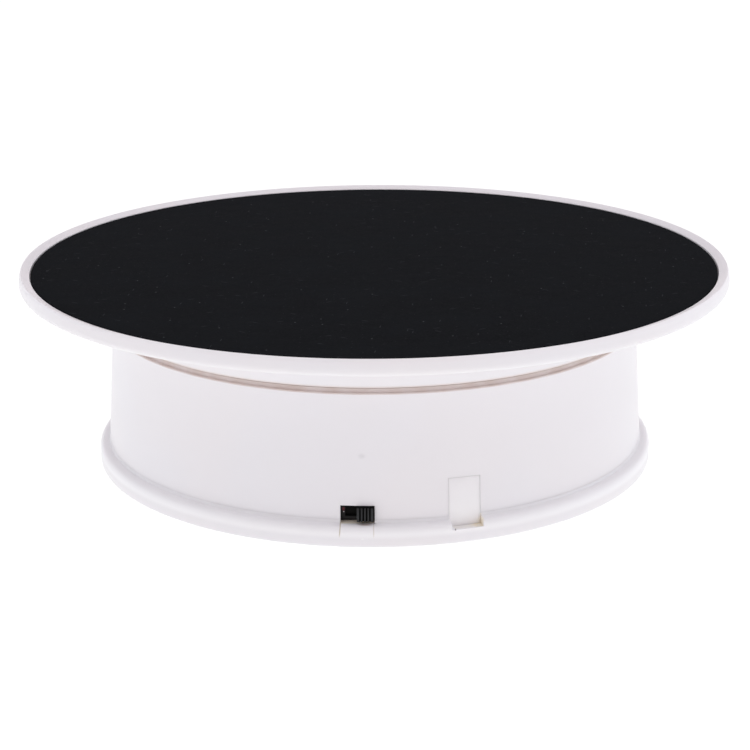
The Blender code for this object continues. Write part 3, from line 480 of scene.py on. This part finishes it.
def velvet():
    """Black flock: short upright fibres with faint nap marks, specks of lint and a few loose fibres."""
    finish = Finish("black_velvet", Roughness=0.95, Specular_IOR_Level=0.03, Sheen_Weight=0.009,
                    Sheen_Roughness=0.45)
    finish.shader.inputs["Sheen Tint"].default_value = (0.80, 0.88, 1.0, 1.0)
    nap = finish.span(finish.noise(14, 3.0), 0.32, 0.68)
    pile = finish.span(finish.noise(0.55, 2.0), 0.3, 0.75)
    colour = finish.mix(nap, (0.0042, 0.0050, 0.0061), (0.0070, 0.0081, 0.0096))
    colour = finish.mix(finish.math("MULTIPLY", pile, 0.55), colour, (0.0105, 0.0120, 0.0138))
    for size, radius, chance, tint in ((2.6, 0.055, 0.80, (0.026, 0.029, 0.033)),
                                       (6.5, 0.030, 0.90, (0.075, 0.08, 0.085))):
        cells = finish.add("ShaderNodeTexVoronoi", {"Vector": finish.place, "Scale": 1 / (size * MM)},
                           voronoi_dimensions="2D")
        dot = finish.span(cells.outputs["Distance"], radius * 1.6, radius * 0.5)
        picked = finish.add("ShaderNodeSeparateColor", {0: cells.outputs["Color"]}).outputs[0]
        chosen = finish.math("GREATER_THAN", picked, chance)
        colour = finish.mix(finish.math("MULTIPLY", dot, chosen), colour, tint)
    for turn, seed in ((0.5, 0.0), (1.7, 0.31), (2.7, 0.67)):
        turned = finish.add("ShaderNodeVectorRotate", {"Vector": finish.place, "Angle": turn},
                            rotation_type="Z_AXIS").outputs[0]
        squeezed = finish.add("ShaderNodeVectorMath", {0: turned, 1: (1.0, 9.0, 1.0)},
                              operation="MULTIPLY").outputs[0]
        shifted = finish.add("ShaderNodeVectorMath", {0: squeezed, 1: (seed, seed, 0.0)},
                             operation="ADD").outputs[0]
        cells = finish.add("ShaderNodeTexVoronoi", {"Vector": shifted, "Scale": 1 / (13 * MM)},
                           voronoi_dimensions="2D")
        strand = finish.span(cells.outputs["Distance"], 0.10, 0.05)
        picked = finish.add("ShaderNodeSeparateColor", {0: cells.outputs["Color"]}).outputs[1]
        chosen = finish.math("GREATER_THAN", picked, 0.955)
        colour = finish.mix(finish.math("MULTIPLY", strand, chosen), colour, (0.032, 0.035, 0.040))
    finish.connect("Base Color", colour)
    finish.connect("Roughness", finish.span(nap, 0.0, 1.0, 0.9, 1.0))
    finish.bump([(finish.noise(7, 2.0), 0.10), (finish.noise(0.4, 2.0), 0.05)])
    return finish.material


def moulded(name, dark, light, rough, size=0.7, depth=0.008, marks=(), dull=None):
    """Moulded plastic or rubber with a fine grain. The area that dull masks has less gloss."""
    finish = Finish(name, Specular_IOR_Level=0.35)
    if dull:
        finish.connect("Specular IOR Level", finish.span(dull(finish), 0.0, 1.0, 0.35, 0.06))
    grain = finish.noise(size, 3.0)
    colour = finish.mix(finish.span(finish.noise(size * 9, 3.0), 0.3, 0.7), dark, light)
    for mask, tint, strength in marks:
        colour = finish.mix(finish.math("MULTIPLY", mask(finish), strength), colour, tint)
    finish.connect("Base Color", colour)
    finish.connect("Roughness", finish.span(grain, 0.3, 0.7, rough - 0.06, rough + 0.06))
    finish.bump([(grain, depth)])
    return finish.material


def metal(name, dark, light, rough, stretch=(1, 1, 1)):
    """Plated or turned metal with fine drawing marks."""
    finish = Finish(name, Metallic=1.0)
    marks = finish.noise(0.5, 4.0, stretch)
    cloud = finish.noise(4, 3.0)
    finish.connect("Base Color", finish.mix(finish.span(cloud, 0.3, 0.7), dark, light))
    finish.connect("Roughness", finish.span(marks, 0.25, 0.75, rough - 0.08, rough + 0.10))
    finish.bump([(marks, 0.004)])
    return finish.material


def switch_paint(finish):
    """Dark red mark at the switch's off end."""
    return finish.patch((SWITCH_X - 3.60, SWITCH_FACE_Y, 9.75), (0.50, 0.5, 0.80), 0.2)


def switch_painted_glint(finish):
    """Small painted highlight: a white dot under the red mark."""
    return finish.patch((SWITCH_X - 3.55, SWITCH_FACE_Y, 9.0), (0.20, 0.5, 0.18), 0.4)


def switch_recess(finish):
    """The sunken part of the switch's face."""
    y = axis_value(finish, 1)
    return finish.span(y, low("switch_body").y + 0.4, low("switch_body").y + 0.7)


def knob_groove_painted_shade(finish):
    """The hollows between the knob's ribs, which are painted darker as shade."""
    y = axis_value(finish, 1)
    return finish.span(y, low("switch_knob").y + 0.12, low("switch_knob").y + 0.40)


# ---------------------------------------------------------------- platter

def build_platter(material):
    ring_in = RING_R - RING_WALL
    track_in, track_out = TRACK_R - TRACK_WALL / 2, TRACK_R + TRACK_WALL / 2
    under = soften([
        (0, DISC_UNDERSIDE, 0), (track_in, DISC_UNDERSIDE, 0.6), (track_in, TRACK_FOOT, 0.4),
        (track_out, TRACK_FOOT, 0.4), (track_out, DISC_UNDERSIDE, 0.6), (ring_in, DISC_UNDERSIDE, 0.6),
        (ring_in, RING_FOOT, 0.4), (RING_R, RING_FOOT, 0.3), (RING_R + 0.4, DISC_UNDERSIDE, 0.7),
        (97.8, DISC_UNDERSIDE, 0)])
    skirt = smooth_curve([(98.2, DISC_UNDERSIDE), (99.1, 53.0), (99.7, 53.5), (RIM_R - 0.03, 54.3),
                          (99.95, 55.4), (99.8, 56.5), (RIM_CREST_R + 0.1, RIM_TOP - 0.1)], 4)
    lip = soften([(RIM_CREST_R + 0.1, RIM_TOP - 0.1, 0), (RIM_CREST_R, RIM_TOP, 0.12),
                  (WELL_R, PAD_TOP, 0.1), (WELL_R, DISC_TOP, 0.25), (0, DISC_TOP, 0)])
    bm = bmesh.new()
    add_turned(bm, under + skirt[:-1] + lip)
    hub = bmesh.new()
    add_turned(hub, soften([(0, HUB_FOOT, 0), (HUB_R, HUB_FOOT, 0.4), (HUB_R, DISC_UNDERSIDE + 0.5, 0),
                            (0, DISC_UNDERSIDE + 0.5, 0)]), 96)
    counterbore = bmesh.new()
    add_rod(counterbore, 4.5, (0, 0, SCREW_SHOULDER), (0, 0, DISC_TOP + 1), 64)
    bore = bmesh.new()
    add_rod(bore, SHAFT_R + 0.3, (0, 0, HUB_FOOT - 1), (0, 0, SCREW_SHOULDER + 0.5), 64)
    make_piece("platter_shell", bm, material, "platter", ["platter"],
               unions=[hub], cuts=[counterbore, bore])


def build_pad(material):
    """Flock-covered disc with a gently uneven nap and a rounded edge."""
    bm = bmesh.new()
    bottom = low("velvet_pad").z

    def nap(x, y):
        place = Vector((x, y, 0))
        return 0.024 * noise.noise(place / 5.0) + 0.020 * noise.noise(place / 2.1 + Vector((7, 3, 0)))

    def row(radius, height, rough):
        points = []
        for i in range(PAD_SIDES):
            x, y, _ = polar(radius, 2 * pi * i / PAD_SIDES)
            points.append(bm.verts.new((x, y, height + (nap(x, y) if rough else 0.0))))
        return points

    level = PAD_TOP - 0.045
    top = bm.verts.new((0, 0, level))
    rows = [row(PAD_R * k / PAD_RINGS, level, True) for k in range(1, PAD_RINGS)]
    rows.append(row(PAD_R - 0.35, level - 0.02, False))
    rows += [row(PAD_R - 0.12, level - 0.10, False), row(PAD_R - 0.02, level - 0.28, False),
             row(PAD_R, bottom + 0.3, False), row(PAD_R - 0.3, bottom, False)]
    base = bm.verts.new((0, 0, bottom))
    for i in range(PAD_SIDES):
        j = (i + 1) % PAD_SIDES
        bm.faces.new((top, rows[0][i], rows[0][j]))
        bm.faces.new((base, rows[-1][j], rows[-1][i]))
        for first, second in zip(rows, rows[1:]):
            bm.faces.new((first[i], second[i], second[j], first[j]))
    pad = make_piece("velvet_disc", bm, material, "platter", ["velvet_pad"])


# ---------------------------------------------------------------- housing

def drum_radius(height):
    share = (height - DRUM_FOOT) / (DECK_TOP - DRUM_FOOT)
    return DRUM_FOOT_R + (DRUM_TOP_R - DRUM_FOOT_R) * share


def build_drum(material):
    foot = DRUM_SEAM
    bm = bmesh.new()
    add_turned(bm, soften([
        (0, DECK_UNDERSIDE, 0), (DRUM_TOP_R - DRUM_WALL, DECK_UNDERSIDE, 1.0),
        (drum_radius(foot) - DRUM_WALL, foot, 0.15), (drum_radius(foot), foot, 0),
        (drum_radius(DECK_TOP), DECK_TOP, 0.4), (LIP_R, DECK_TOP, 0.15), (LIP_R, LIP_TOP + 0.12, 0.2),
        (LIP_R - 2.2, LIP_TOP + 0.12, 0.2), (LIP_R - 2.2, DECK_TOP, 0.2), (0, DECK_TOP, 0)]))

    reach = DECK_UNDERSIDE + 0.2
    posts = bmesh.new()
    add_rod(posts, BUSH_BOSS_R, (0, 0, 34), (0, 0, reach), 64)
    for angle in POST_ANGLES:
        add_rod(posts, POST_RADIUS, polar(POST_R, angle, 5.3), polar(POST_R, angle, reach))
    for x, y in EARS:
        add_rod(posts, EAR_RADIUS, (x, y, 28.3), (x, y, reach))
    for angle in ROLLER_ANGLES:
        for inner in (TRACK_R - 3.9, TRACK_R + 2.5):
            add_box(posts, (inner, -3.4, ROLLER_Z - 2.4), (inner + 1.4, 3.4, reach), turn=angle)
    for side in (-1, 1):
        rail = SWITCH_X + side * 10.9
        add_box(posts, (rail - 0.7, -74.3, DRUM_SEAM + 0.1), (rail + 0.7, -70.6, 15.0))

    holes = bmesh.new()
    add_rod(holes, BUSH_R + 0.3, (0, 0, 33), (0, 0, 42), 64)
    for angle in POST_ANGLES:
        add_rod(holes, POST_PILOT, polar(POST_R, angle, 4.0), polar(POST_R, angle, 16.0), 24)
    for x, y in EARS:
        add_rod(holes, EAR_PILOT, (x, y, 27.0), (x, y, 36.0), 24)
    for angle in ROLLER_ANGLES:
        add_box(holes, (TRACK_R - 2.4, -6.4, 37.75), (TRACK_R + 2.4, 6.4, 42.0), turn=angle)
        add_rod(holes, PIN_BORE_R, polar(TRACK_R - PIN_HALF_LENGTH, angle, ROLLER_Z),
                polar(TRACK_R + PIN_HALF_LENGTH, angle, ROLLER_Z), 24)
    half = SLOT_WIDTH / 2
    add_box(holes, (SWITCH_X - half, -80, 4), (SWITCH_X + half, -71, SLOT_TOP))
    half = PORT_WIDTH / 2
    add_box(holes, (-half, -80, 4), (half, -70, PORT_TOP), turn=PORT_ANGLE)
    make_piece("drum_shell", bm, material, "housing", ["housing_drum"],
               unions=[posts], cuts=[holes])


def build_base(material):
    wall = drum_radius(DRUM_SEAM)
    bm = bmesh.new()
    add_turned(bm, soften([
        (0, BASE_UNDERSIDE, 0), (GROOVE_IN_R, BASE_UNDERSIDE, 0.2), (GROOVE_IN_R, GROOVE_TOP, 0.2),
        (GROOVE_OUT_R, GROOVE_TOP, 0.2), (GROOVE_OUT_R, BASE_UNDERSIDE, 0.2),
        (FLANGE_R - 0.1, BASE_UNDERSIDE, 0.5), (FLANGE_R, FLANGE_TOP, FLANGE_ROUND),
        (wall + 0.02, FLANGE_TOP, 0.7), (wall, DRUM_SEAM, 0), (wall - DRUM_WALL, DRUM_SEAM, 0.1),
        (wall - DRUM_WALL, FLANGE_TOP, 0), (FLANGE_INNER_R, FLANGE_TOP, 0.1),
        (FLANGE_INNER_R, BASE_FLOOR, 0.3), (0, BASE_FLOOR, 0)], 7))
    inside = BASE_UNDERSIDE + 0.2
    frame_pad = bmesh.new()
    add_box(frame_pad, (-32.6, 11.6, inside), (32.6, 64.4, 4.6))
    for angle in POST_ANGLES:
        add_rod(frame_pad, 4.8, polar(POST_R, angle, inside), polar(POST_R, angle, 5.0))
    bay = bmesh.new()
    add_box(bay, (-BAY_X - 1.6, BAY_Y[0] - 1.6, inside), (BAY_X + 1.6, BAY_Y[1] + 1.6, BAY_TOP + 1.6))

    pockets = bmesh.new()
    add_box(pockets, (-BAY_X, BAY_Y[0], -1), (BAY_X, BAY_Y[1], BAY_TOP))
    for i in range(1, 5):
        foot = middle(f"foot_{i}")
        add_rod(pockets, FOOT_POCKET_R, (foot.x, foot.y, -1), (foot.x, foot.y, 2.5), 64)
    for angle in POST_ANGLES:
        add_rod(pockets, HEAD_POCKET_R, polar(POST_R, angle, -1), polar(POST_R, angle, 3.2))
    add_box(pockets, (-6, 63.2, -1), (6, 67.5, 2.3))
    half = SLOT_WIDTH / 2
    add_box(pockets, (SWITCH_X - half, -78, FLANGE_TOP), (SWITCH_X + half, -71, 9))
    half = PORT_WIDTH / 2
    add_box(pockets, (-half, -84, PORT_CHANNEL_Z), (half, -73.4, 9), turn=PORT_ANGLE)

    recess = bmesh.new()
    add_box(recess, (DOOR_LOW.x - 0.3, 12.6, -1), (DOOR_HIGH.x + 0.3, 63.5, 2.9))
    for angle in POST_ANGLES:
        add_rod(recess, POST_PILOT, polar(POST_R, angle, 2.0), polar(POST_R, angle, 7.0), 24)
    for side, row in ((-1, 22.8), (1, 53.2)):
        add_rod(recess, 1.1, (side * (BAY_X - 1), row, 15.5), (side * (BAY_X + 4), row, 15.5), 24)
    make_piece("base_shell", bm, material, "housing", ["base_plate"],
               unions=[frame_pad, bay], cuts=[pockets, recess])


def add_wall_patch(bm, half_width, bottom, top, depth_out, depth_in, steps=16):
    """Curved patch of the drum wall about the port's direction, between two depths behind its surface."""
    rows = []
    for height in (bottom, top):
        for depth in (depth_out, depth_in):
            radius = drum_radius(height) - depth
            spread = asin(half_width / radius)
            angles = [PORT_ANGLE - pi / 2 + spread * (2 * k / steps - 1) for k in range(steps + 1)]
            rows.append([bm.verts.new(polar(radius, a, height)) for a in angles])
    low_out, low_in, high_out, high_in = rows
    for first, second in ((low_out, low_in), (low_in, high_in), (high_in, high_out), (high_out, low_out)):
        for k in range(steps):
            bm.faces.new((first[k], first[k + 1], second[k + 1], second[k]))
    for end in (0, -1):
        bm.faces.new((low_out[end], low_in[end], high_in[end], high_out[end]))


def build_port_blank(material):
    bm = bmesh.new()
    add_wall_patch(bm, PORT_WIDTH / 2 - SEAM, PORT_CHANNEL_Z + SEAM, PORT_TOP - SEAM, 0.0, 2.8)
    lip = bmesh.new()
    add_wall_patch(lip, PORT_WIDTH / 2 + 1.6, FLANGE_TOP + 0.3, PORT_TOP + 1.6, DRUM_WALL + 0.3, 3.8)
    make_piece("port_plug", bm, material, "housing", ["port_blank"],
               unions=[lip], bevel=0.10)


def build_feet(material):
    for i in range(1, 5):
        start, end = low(f"foot_{i}"), high(f"foot_{i}")
        centre, radius = (start + end) / 2, (end.x - start.x) / 2
        bm = bmesh.new()
        outline = soften([(0, start.z, 0), (radius, start.z, 0.7), (radius, end.z, 0.1), (0, end.z, 0)], 6)
        add_turned(bm, outline, 72, Matrix.Translation((centre.x, centre.y, 0)))
        make_piece(f"foot_pad_{i}", bm, material, "housing", [f"foot_{i}"])


def build_base_screws(material):
    """Pan-head screws with a cross recess, heads facing down."""
    for i, angle in enumerate(POST_ANGLES, 1):
        name = f"base_screw_{i}"
        start, end = low(name), high(name)
        centre = polar(POST_R, angle)
        place = Matrix.Translation((centre.x, centre.y, 0))
        head = start.z + 1.7
        outline = soften([(0, start.z, 0), (2.6, start.z + 0.12, 0.5), (3.0, start.z + 1.0, 0.3),
                          (3.0, head, 0.1), (1.3, head, 0.1), (1.3, end.z - 1.2, 0.2), (0, end.z, 0)])
        bm = bmesh.new()
        add_turned(bm, outline, 48, place)
        first = bmesh.new()
        second = bmesh.new()
        for shape, turn in ((first, angle + 0.6), (second, angle + 0.6 + pi / 2)):
            add_box(shape, (-1.5, -0.28, -0.5), (1.5, 0.28, 0.9), turn)
            bmesh.ops.translate(shape, vec=(centre.x, centre.y, start.z), verts=shape.verts)
        make_piece(f"cross_screw_{i}", bm, material, "housing", [name], cuts=[first, second])


# ---------------------------------------------------------------- switch and battery door

def build_switch(material):
    start, end = low("switch_body"), high("switch_body")
    front = start.y
    bm = bmesh.new()
    add_box(bm, (SWITCH_X - 6.5, -72.0, start.z), (SWITCH_X + 6.5, -66.0, end.z))
    nose = bmesh.new()
    add_box(nose, (SWITCH_X - 4.34, front, FLANGE_TOP + SEAM), (SWITCH_X + 4.34, -71.8, SLOT_TOP - SEAM))
    for side in (-1, 0, 1):
        tag = SWITCH_X + 4 * side
        add_box(nose, (tag - 0.3, -66.5, 8.2), (tag + 0.3, end.y, 9.7))
    track = bmesh.new()
    knob_z = middle("switch_knob").z
    add_box(track, (SWITCH_X - 3.2, front - 1, knob_z - 1.4),
            (SWITCH_X + 3.2, front + SWITCH_RECESS_DEPTH, knob_z + 1.4))
    make_piece("switch_case", bm, material, "housing", ["switch_body"],
               unions=[nose], cuts=[track], bevel=0.12)


def build_knob(material):
    """Knob with four upright grooves across its face."""
    start, end = low("switch_knob"), high("switch_knob")
    front, back, left = start.y, KNOB_BACK_Y, start.x
    pitch, groove, depth = (end.x - start.x) / 5, KNOB_GROOVE_WIDTH, KNOB_GROOVE_DEPTH
    corners = [(left, back, 0), (left, front, 0.22)]
    for k in range(1, 5):
        x = left + pitch * k
        corners += [(x - groove / 2, front, 0.08), (x - groove / 3, front + depth, 0.08),
                    (x + groove / 3, front + depth, 0.08), (x + groove / 2, front, 0.08)]
    corners += [(end.x, front, 0.22), (end.x, back, 0)]
    bm = bmesh.new()
    add_prism(bm, soften(corners, 3), start.z, end.z)
    stem = bmesh.new()
    knob_z, centre = (start.z + end.z) / 2, (start.x + end.x) / 2
    add_box(stem, (centre - 1.0, back - 0.4, knob_z - 1.1),
            (centre + 1.0, low("switch_body").y + SWITCH_RECESS_DEPTH - 0.2, knob_z + 1.1))
    make_piece("slide_knob", bm, material, "switch_knob", ["switch_knob"],
               unions=[stem], bevel=0.10)


def build_door(material):
    start, end = DOOR_LOW, DOOR_HIGH
    bm = bmesh.new()
    add_box(bm, (start.x, start.y, start.z), (end.x, 63.2, end.z))
    tab = bmesh.new()
    add_box(tab, (-4, 62.7, start.z + 0.1), (4, end.y, start.z + 1.0))
    grips = bmesh.new()
    for k in range(5):
        y = 55.0 + 1.3 * k
        half = 7.0 - 0.9 * k
        add_box(grips, (-half, y - 0.3, start.z - 1), (half, y + 0.3, start.z + 0.35))
    make_piece("bay_door", bm, material, "battery_door", ["battery_door"],
               unions=[tab], cuts=[grips], bevel=0.15)


# ---------------------------------------------------------------- stage, light and camera

# Strengths of the surroundings, and the sines of elevation where they change
HORIZON = 1.0
HORIZON_FADE = (0.10, 0.26)
WALLS = 0.41                # in front and behind
SIDE_WALLS = 0.85
RIGHT_EXTRA = 0.06
HIGH_EXTRA = 0.22           # at the sides, higher up
HIGH_RISE = (0.40, 0.66)
OVERHEAD_WATTS = 6.0
FLOOR_GLOW = 0.97
FRONT_TINT = (1.0, 0.89, 0.915, 1.0)
SIDE_TINT = (0.985, 1.04, 1.14, 1.0)

CAMERA_DISTANCE = 0.560     # metres, from the middle of the pad's top
CAMERA_ELEVATION = radians(14.0923)
CAMERA_DIP = 0.0585         # radians that the camera looks below that point
CAMERA_SWING = 0.0002
CAMERA_ROLL = radians(-0.2803)
CAMERA_SENSOR = 36.0        # millimetres
CAMERA_LENS = 94.10064


def build_stage():
    """Wide floor that glows, so that it stays white right up to the feet."""
    bm = bmesh.new()
    bmesh.ops.create_grid(bm, x_segments=8, y_segments=8, size=4000)
    floor = mesh_object("floor", bm)
    finish = Finish("floor_white", Roughness=0.9, Specular_IOR_Level=0.0)
    cloud = finish.noise(400, 1.0)
    finish.connect("Base Color", finish.mix(cloud, (0.13, 0.13, 0.13), (0.15, 0.15, 0.15)))
    finish.shader.inputs["Emission Color"].default_value = (1, 1, 1, 1)
    finish.shader.inputs["Emission Strength"].default_value = FLOOR_GLOW
    floor.data.materials.append(finish.material)


def build_light():
    """Bright horizon, dimmer walls with more light from the sides, and one large soft panel overhead."""
    world = bpy.data.worlds.new("studio")
    bpy.context.scene.world = world
    world.use_nodes = True
    tree = world.node_tree

    def add(kind, inputs, **settings):
        made = tree.nodes.new(kind)
        for key, value in settings.items():
            setattr(made, key, value)
        for key, value in inputs.items():
            if isinstance(value, bpy.types.NodeSocket):
                tree.links.new(value, made.inputs[key])
            else:
                made.inputs[key].default_value = value
        return made.outputs[0]

    def span(value, start, end, low_value, high_value):
        return add("ShaderNodeMapRange", {"Value": value, "From Min": start, "From Max": end,
                                          "To Min": low_value, "To Max": high_value},
                   interpolation_type="SMOOTHSTEP")

    direction = tree.nodes.new("ShaderNodeTexCoord").outputs["Generated"]
    split = tree.nodes.new("ShaderNodeSeparateXYZ")
    tree.links.new(direction, split.inputs[0])
    across, _, up = split.outputs
    horizon = span(up, *HORIZON_FADE, HORIZON - WALLS, 0.0)
    upper = span(up, *HIGH_RISE, 0.0, HIGH_EXTRA)
    sideways = add("ShaderNodeMath", {0: across, 1: across}, operation="MULTIPLY")
    walls = add("ShaderNodeMath", {0: sideways, 1: SIDE_WALLS - WALLS, 2: WALLS}, operation="MULTIPLY_ADD")
    right = add("ShaderNodeMath", {0: across, 1: RIGHT_EXTRA, 2: walls}, operation="MULTIPLY_ADD")
    lower = add("ShaderNodeMath", {0: horizon, 1: right}, operation="ADD")
    strength = add("ShaderNodeMath", {0: sideways, 1: upper, 2: lower}, operation="MULTIPLY_ADD")
    tint = tree.nodes.new("ShaderNodeMix")
    tint.data_type = "RGBA"
    tree.links.new(sideways, tint.inputs[0])
    tint.inputs[6].default_value = FRONT_TINT
    tint.inputs[7].default_value = SIDE_TINT
    background = tree.nodes["Background"]
    tree.links.new(tint.outputs[2], background.inputs["Color"])
    tree.links.new(strength, background.inputs["Strength"])

    lamp = bpy.data.lights.new("overhead", "AREA")
    lamp.shape, lamp.size, lamp.size_y, lamp.energy = "RECTANGLE", 1.6, 1.2, OVERHEAD_WATTS
    panel = bpy.data.objects.new("overhead", lamp)
    panel.location = (0.1, -0.1, 1.3)
    bpy.context.scene.collection.objects.link(panel)


def build_camera():
    aim = Vector((0, 0, PAD_TOP * MM))
    camera = bpy.data.cameras.new("camera")
    camera.sensor_width, camera.lens = CAMERA_SENSOR, CAMERA_LENS
    camera.clip_start, camera.clip_end = 0.01, 20.0
    holder = bpy.data.objects.new("camera", camera)
    place = aim + CAMERA_DISTANCE * Vector((0, -cos(CAMERA_ELEVATION), sin(CAMERA_ELEVATION)))
    holder.matrix_world = (Matrix.Translation(place) @ Matrix.Rotation(pi / 2 - CAMERA_ELEVATION, 4, "X")
                           @ Matrix.Rotation(-CAMERA_SWING, 4, "Y") @ Matrix.Rotation(-CAMERA_DIP, 4, "X")
                           @ Matrix.Rotation(CAMERA_ROLL, 4, "Z"))
    bpy.context.scene.collection.objects.link(holder)
    bpy.context.scene.camera = holder


def finish_inner_parts():
    """Finishes for the CAD parts that keep their own shape, inside the stand."""
    steel = metal("zinc_steel", (0.46, 0.46, 0.47), (0.62, 0.62, 0.63), 0.30)
    drawn = metal("drawn_steel", (0.52, 0.52, 0.53), (0.66, 0.66, 0.67), 0.24, (9, 1, 9))
    brass = metal("turned_brass", (0.62, 0.44, 0.18), (0.76, 0.58, 0.27), 0.28)
    nylon = moulded("natural_nylon", (0.70, 0.69, 0.62), (0.78, 0.77, 0.71), 0.42)
    grey = moulded("grey_plastic", (0.36, 0.37, 0.38), (0.46, 0.47, 0.48), 0.50)
    red = moulded("red_insulation", (0.42, 0.02, 0.015), (0.55, 0.035, 0.025), 0.42, 0.5, 0.004)
    black = moulded("black_insulation", (0.014, 0.014, 0.015), (0.026, 0.026, 0.027), 0.42, 0.5, 0.004)
    cream = moulded("cream_plastic", (0.66, 0.65, 0.61), (0.74, 0.73, 0.69), 0.45)
    finishes = {
        "platter_screw": steel, "output_shaft": drawn, "output_gear": nylon, "hub_bush": brass,
        "switch_frame": steel, "contact": drawn, "gearbox_case": grey, "gearbox_cover": grey,
        "compound_gear": nylon, "gear_axle": drawn, "worm": brass, "motor_shaft": drawn, "motor_can": steel,
        "motor_end_cap": cream, "wire_battery_switch": red, "wire_switch_motor": red,
        "wire_battery_motor": black, "roller_pin": drawn, "roller": grey, "gearbox_screw": steel,
        "mount_screw": steel,
    }
    for name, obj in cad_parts.items():
        if obj.hide_render:
            continue
        matching = max((key for key in finishes if name.startswith(key)), key=len)
        for slot in obj.material_slots:
            slot.material = finishes[matching]


# ---------------------------------------------------------------- the whole scene

bpy.context.scene.view_settings.view_transform = "Standard"
build_camera()
build_stage()
build_light()

# The platter's ring gets painted warm shade along its lower edge.
build_platter(white_plastic("platter_white", [(ring_foot_painted_shade, SHADOW_TAN, 0.35)]))
build_pad(velvet())
build_drum(white_plastic("drum_white", [
    # the drum's deck gets painted shade where it shows in the gap under the platter
    (deck_painted_shade, (0.65, 0.535, 0.49), 0.9), (port_corner_stain, STAIN, 0.3),
    (wall_blemish, (0.72, 0.71, 0.73), 0.6)]))
build_base(white_plastic("base_white", [
    # painted light along the crease and in the port's channel
    (seam_and_channel_painted_light, (0.97, 0.96, 0.98), 1.0), (port_stain, STAIN, 0.75), (port_corner_stain, STAIN, 0.5),
    # painted contact shadow under the knob
    # painted tan shade inside the slot
    (slot_floor_painted_shade, (0.95, 0.85, 0.70), 0.9), (knob_painted_shadow, (0.50, 0.38, 0.33), 0.7),
    # two painted highlights below the switch
    (mould_lines, (0.50, 0.42, 0.28), 0.75), (painted_glints, (0.97, 0.97, 0.97), 0.9),
    (speck, (0.20, 0.19, 0.18), 0.9)]))
# The port's blank gets painted light, strongest near its foot.
build_port_blank(white_plastic("plug_white", [(plug_painted_light, (0.97, 0.955, 0.96), 1.0),
                                              (port_corner_stain, STAIN, 0.3)]))
build_door(white_plastic("door_white"))
build_feet(moulded("grey_rubber", (0.085, 0.085, 0.085), (0.125, 0.125, 0.125), 0.85, 0.5, 0.02))
build_switch(moulded(
    "switch_black", (0.0040, 0.0038, 0.0038), (0.0065, 0.0062, 0.0060), 0.5, 0.5, 0.004,
    [(switch_recess, (0.012, 0.012, 0.011), 0.8), (switch_paint, (0.11, 0.005, 0.010), 0.9),
     # a small painted highlight under the red mark
     (switch_painted_glint, (0.7, 0.7, 0.7), 1.0)], switch_recess))
build_knob(moulded(
    "knob_black", (0.0110, 0.0115, 0.0125), (0.0160, 0.0170, 0.0185), 0.45, 0.4, 0.003,
    # the knob's grooves are painted near-black as shade
    [(knob_groove_painted_shade, (0.0010, 0.0010, 0.0012), 1.0)], knob_groove_painted_shade))
build_base_screws(metal("screw_steel", (0.46, 0.46, 0.47), (0.62, 0.62, 0.63), 0.30))
finish_inner_parts()
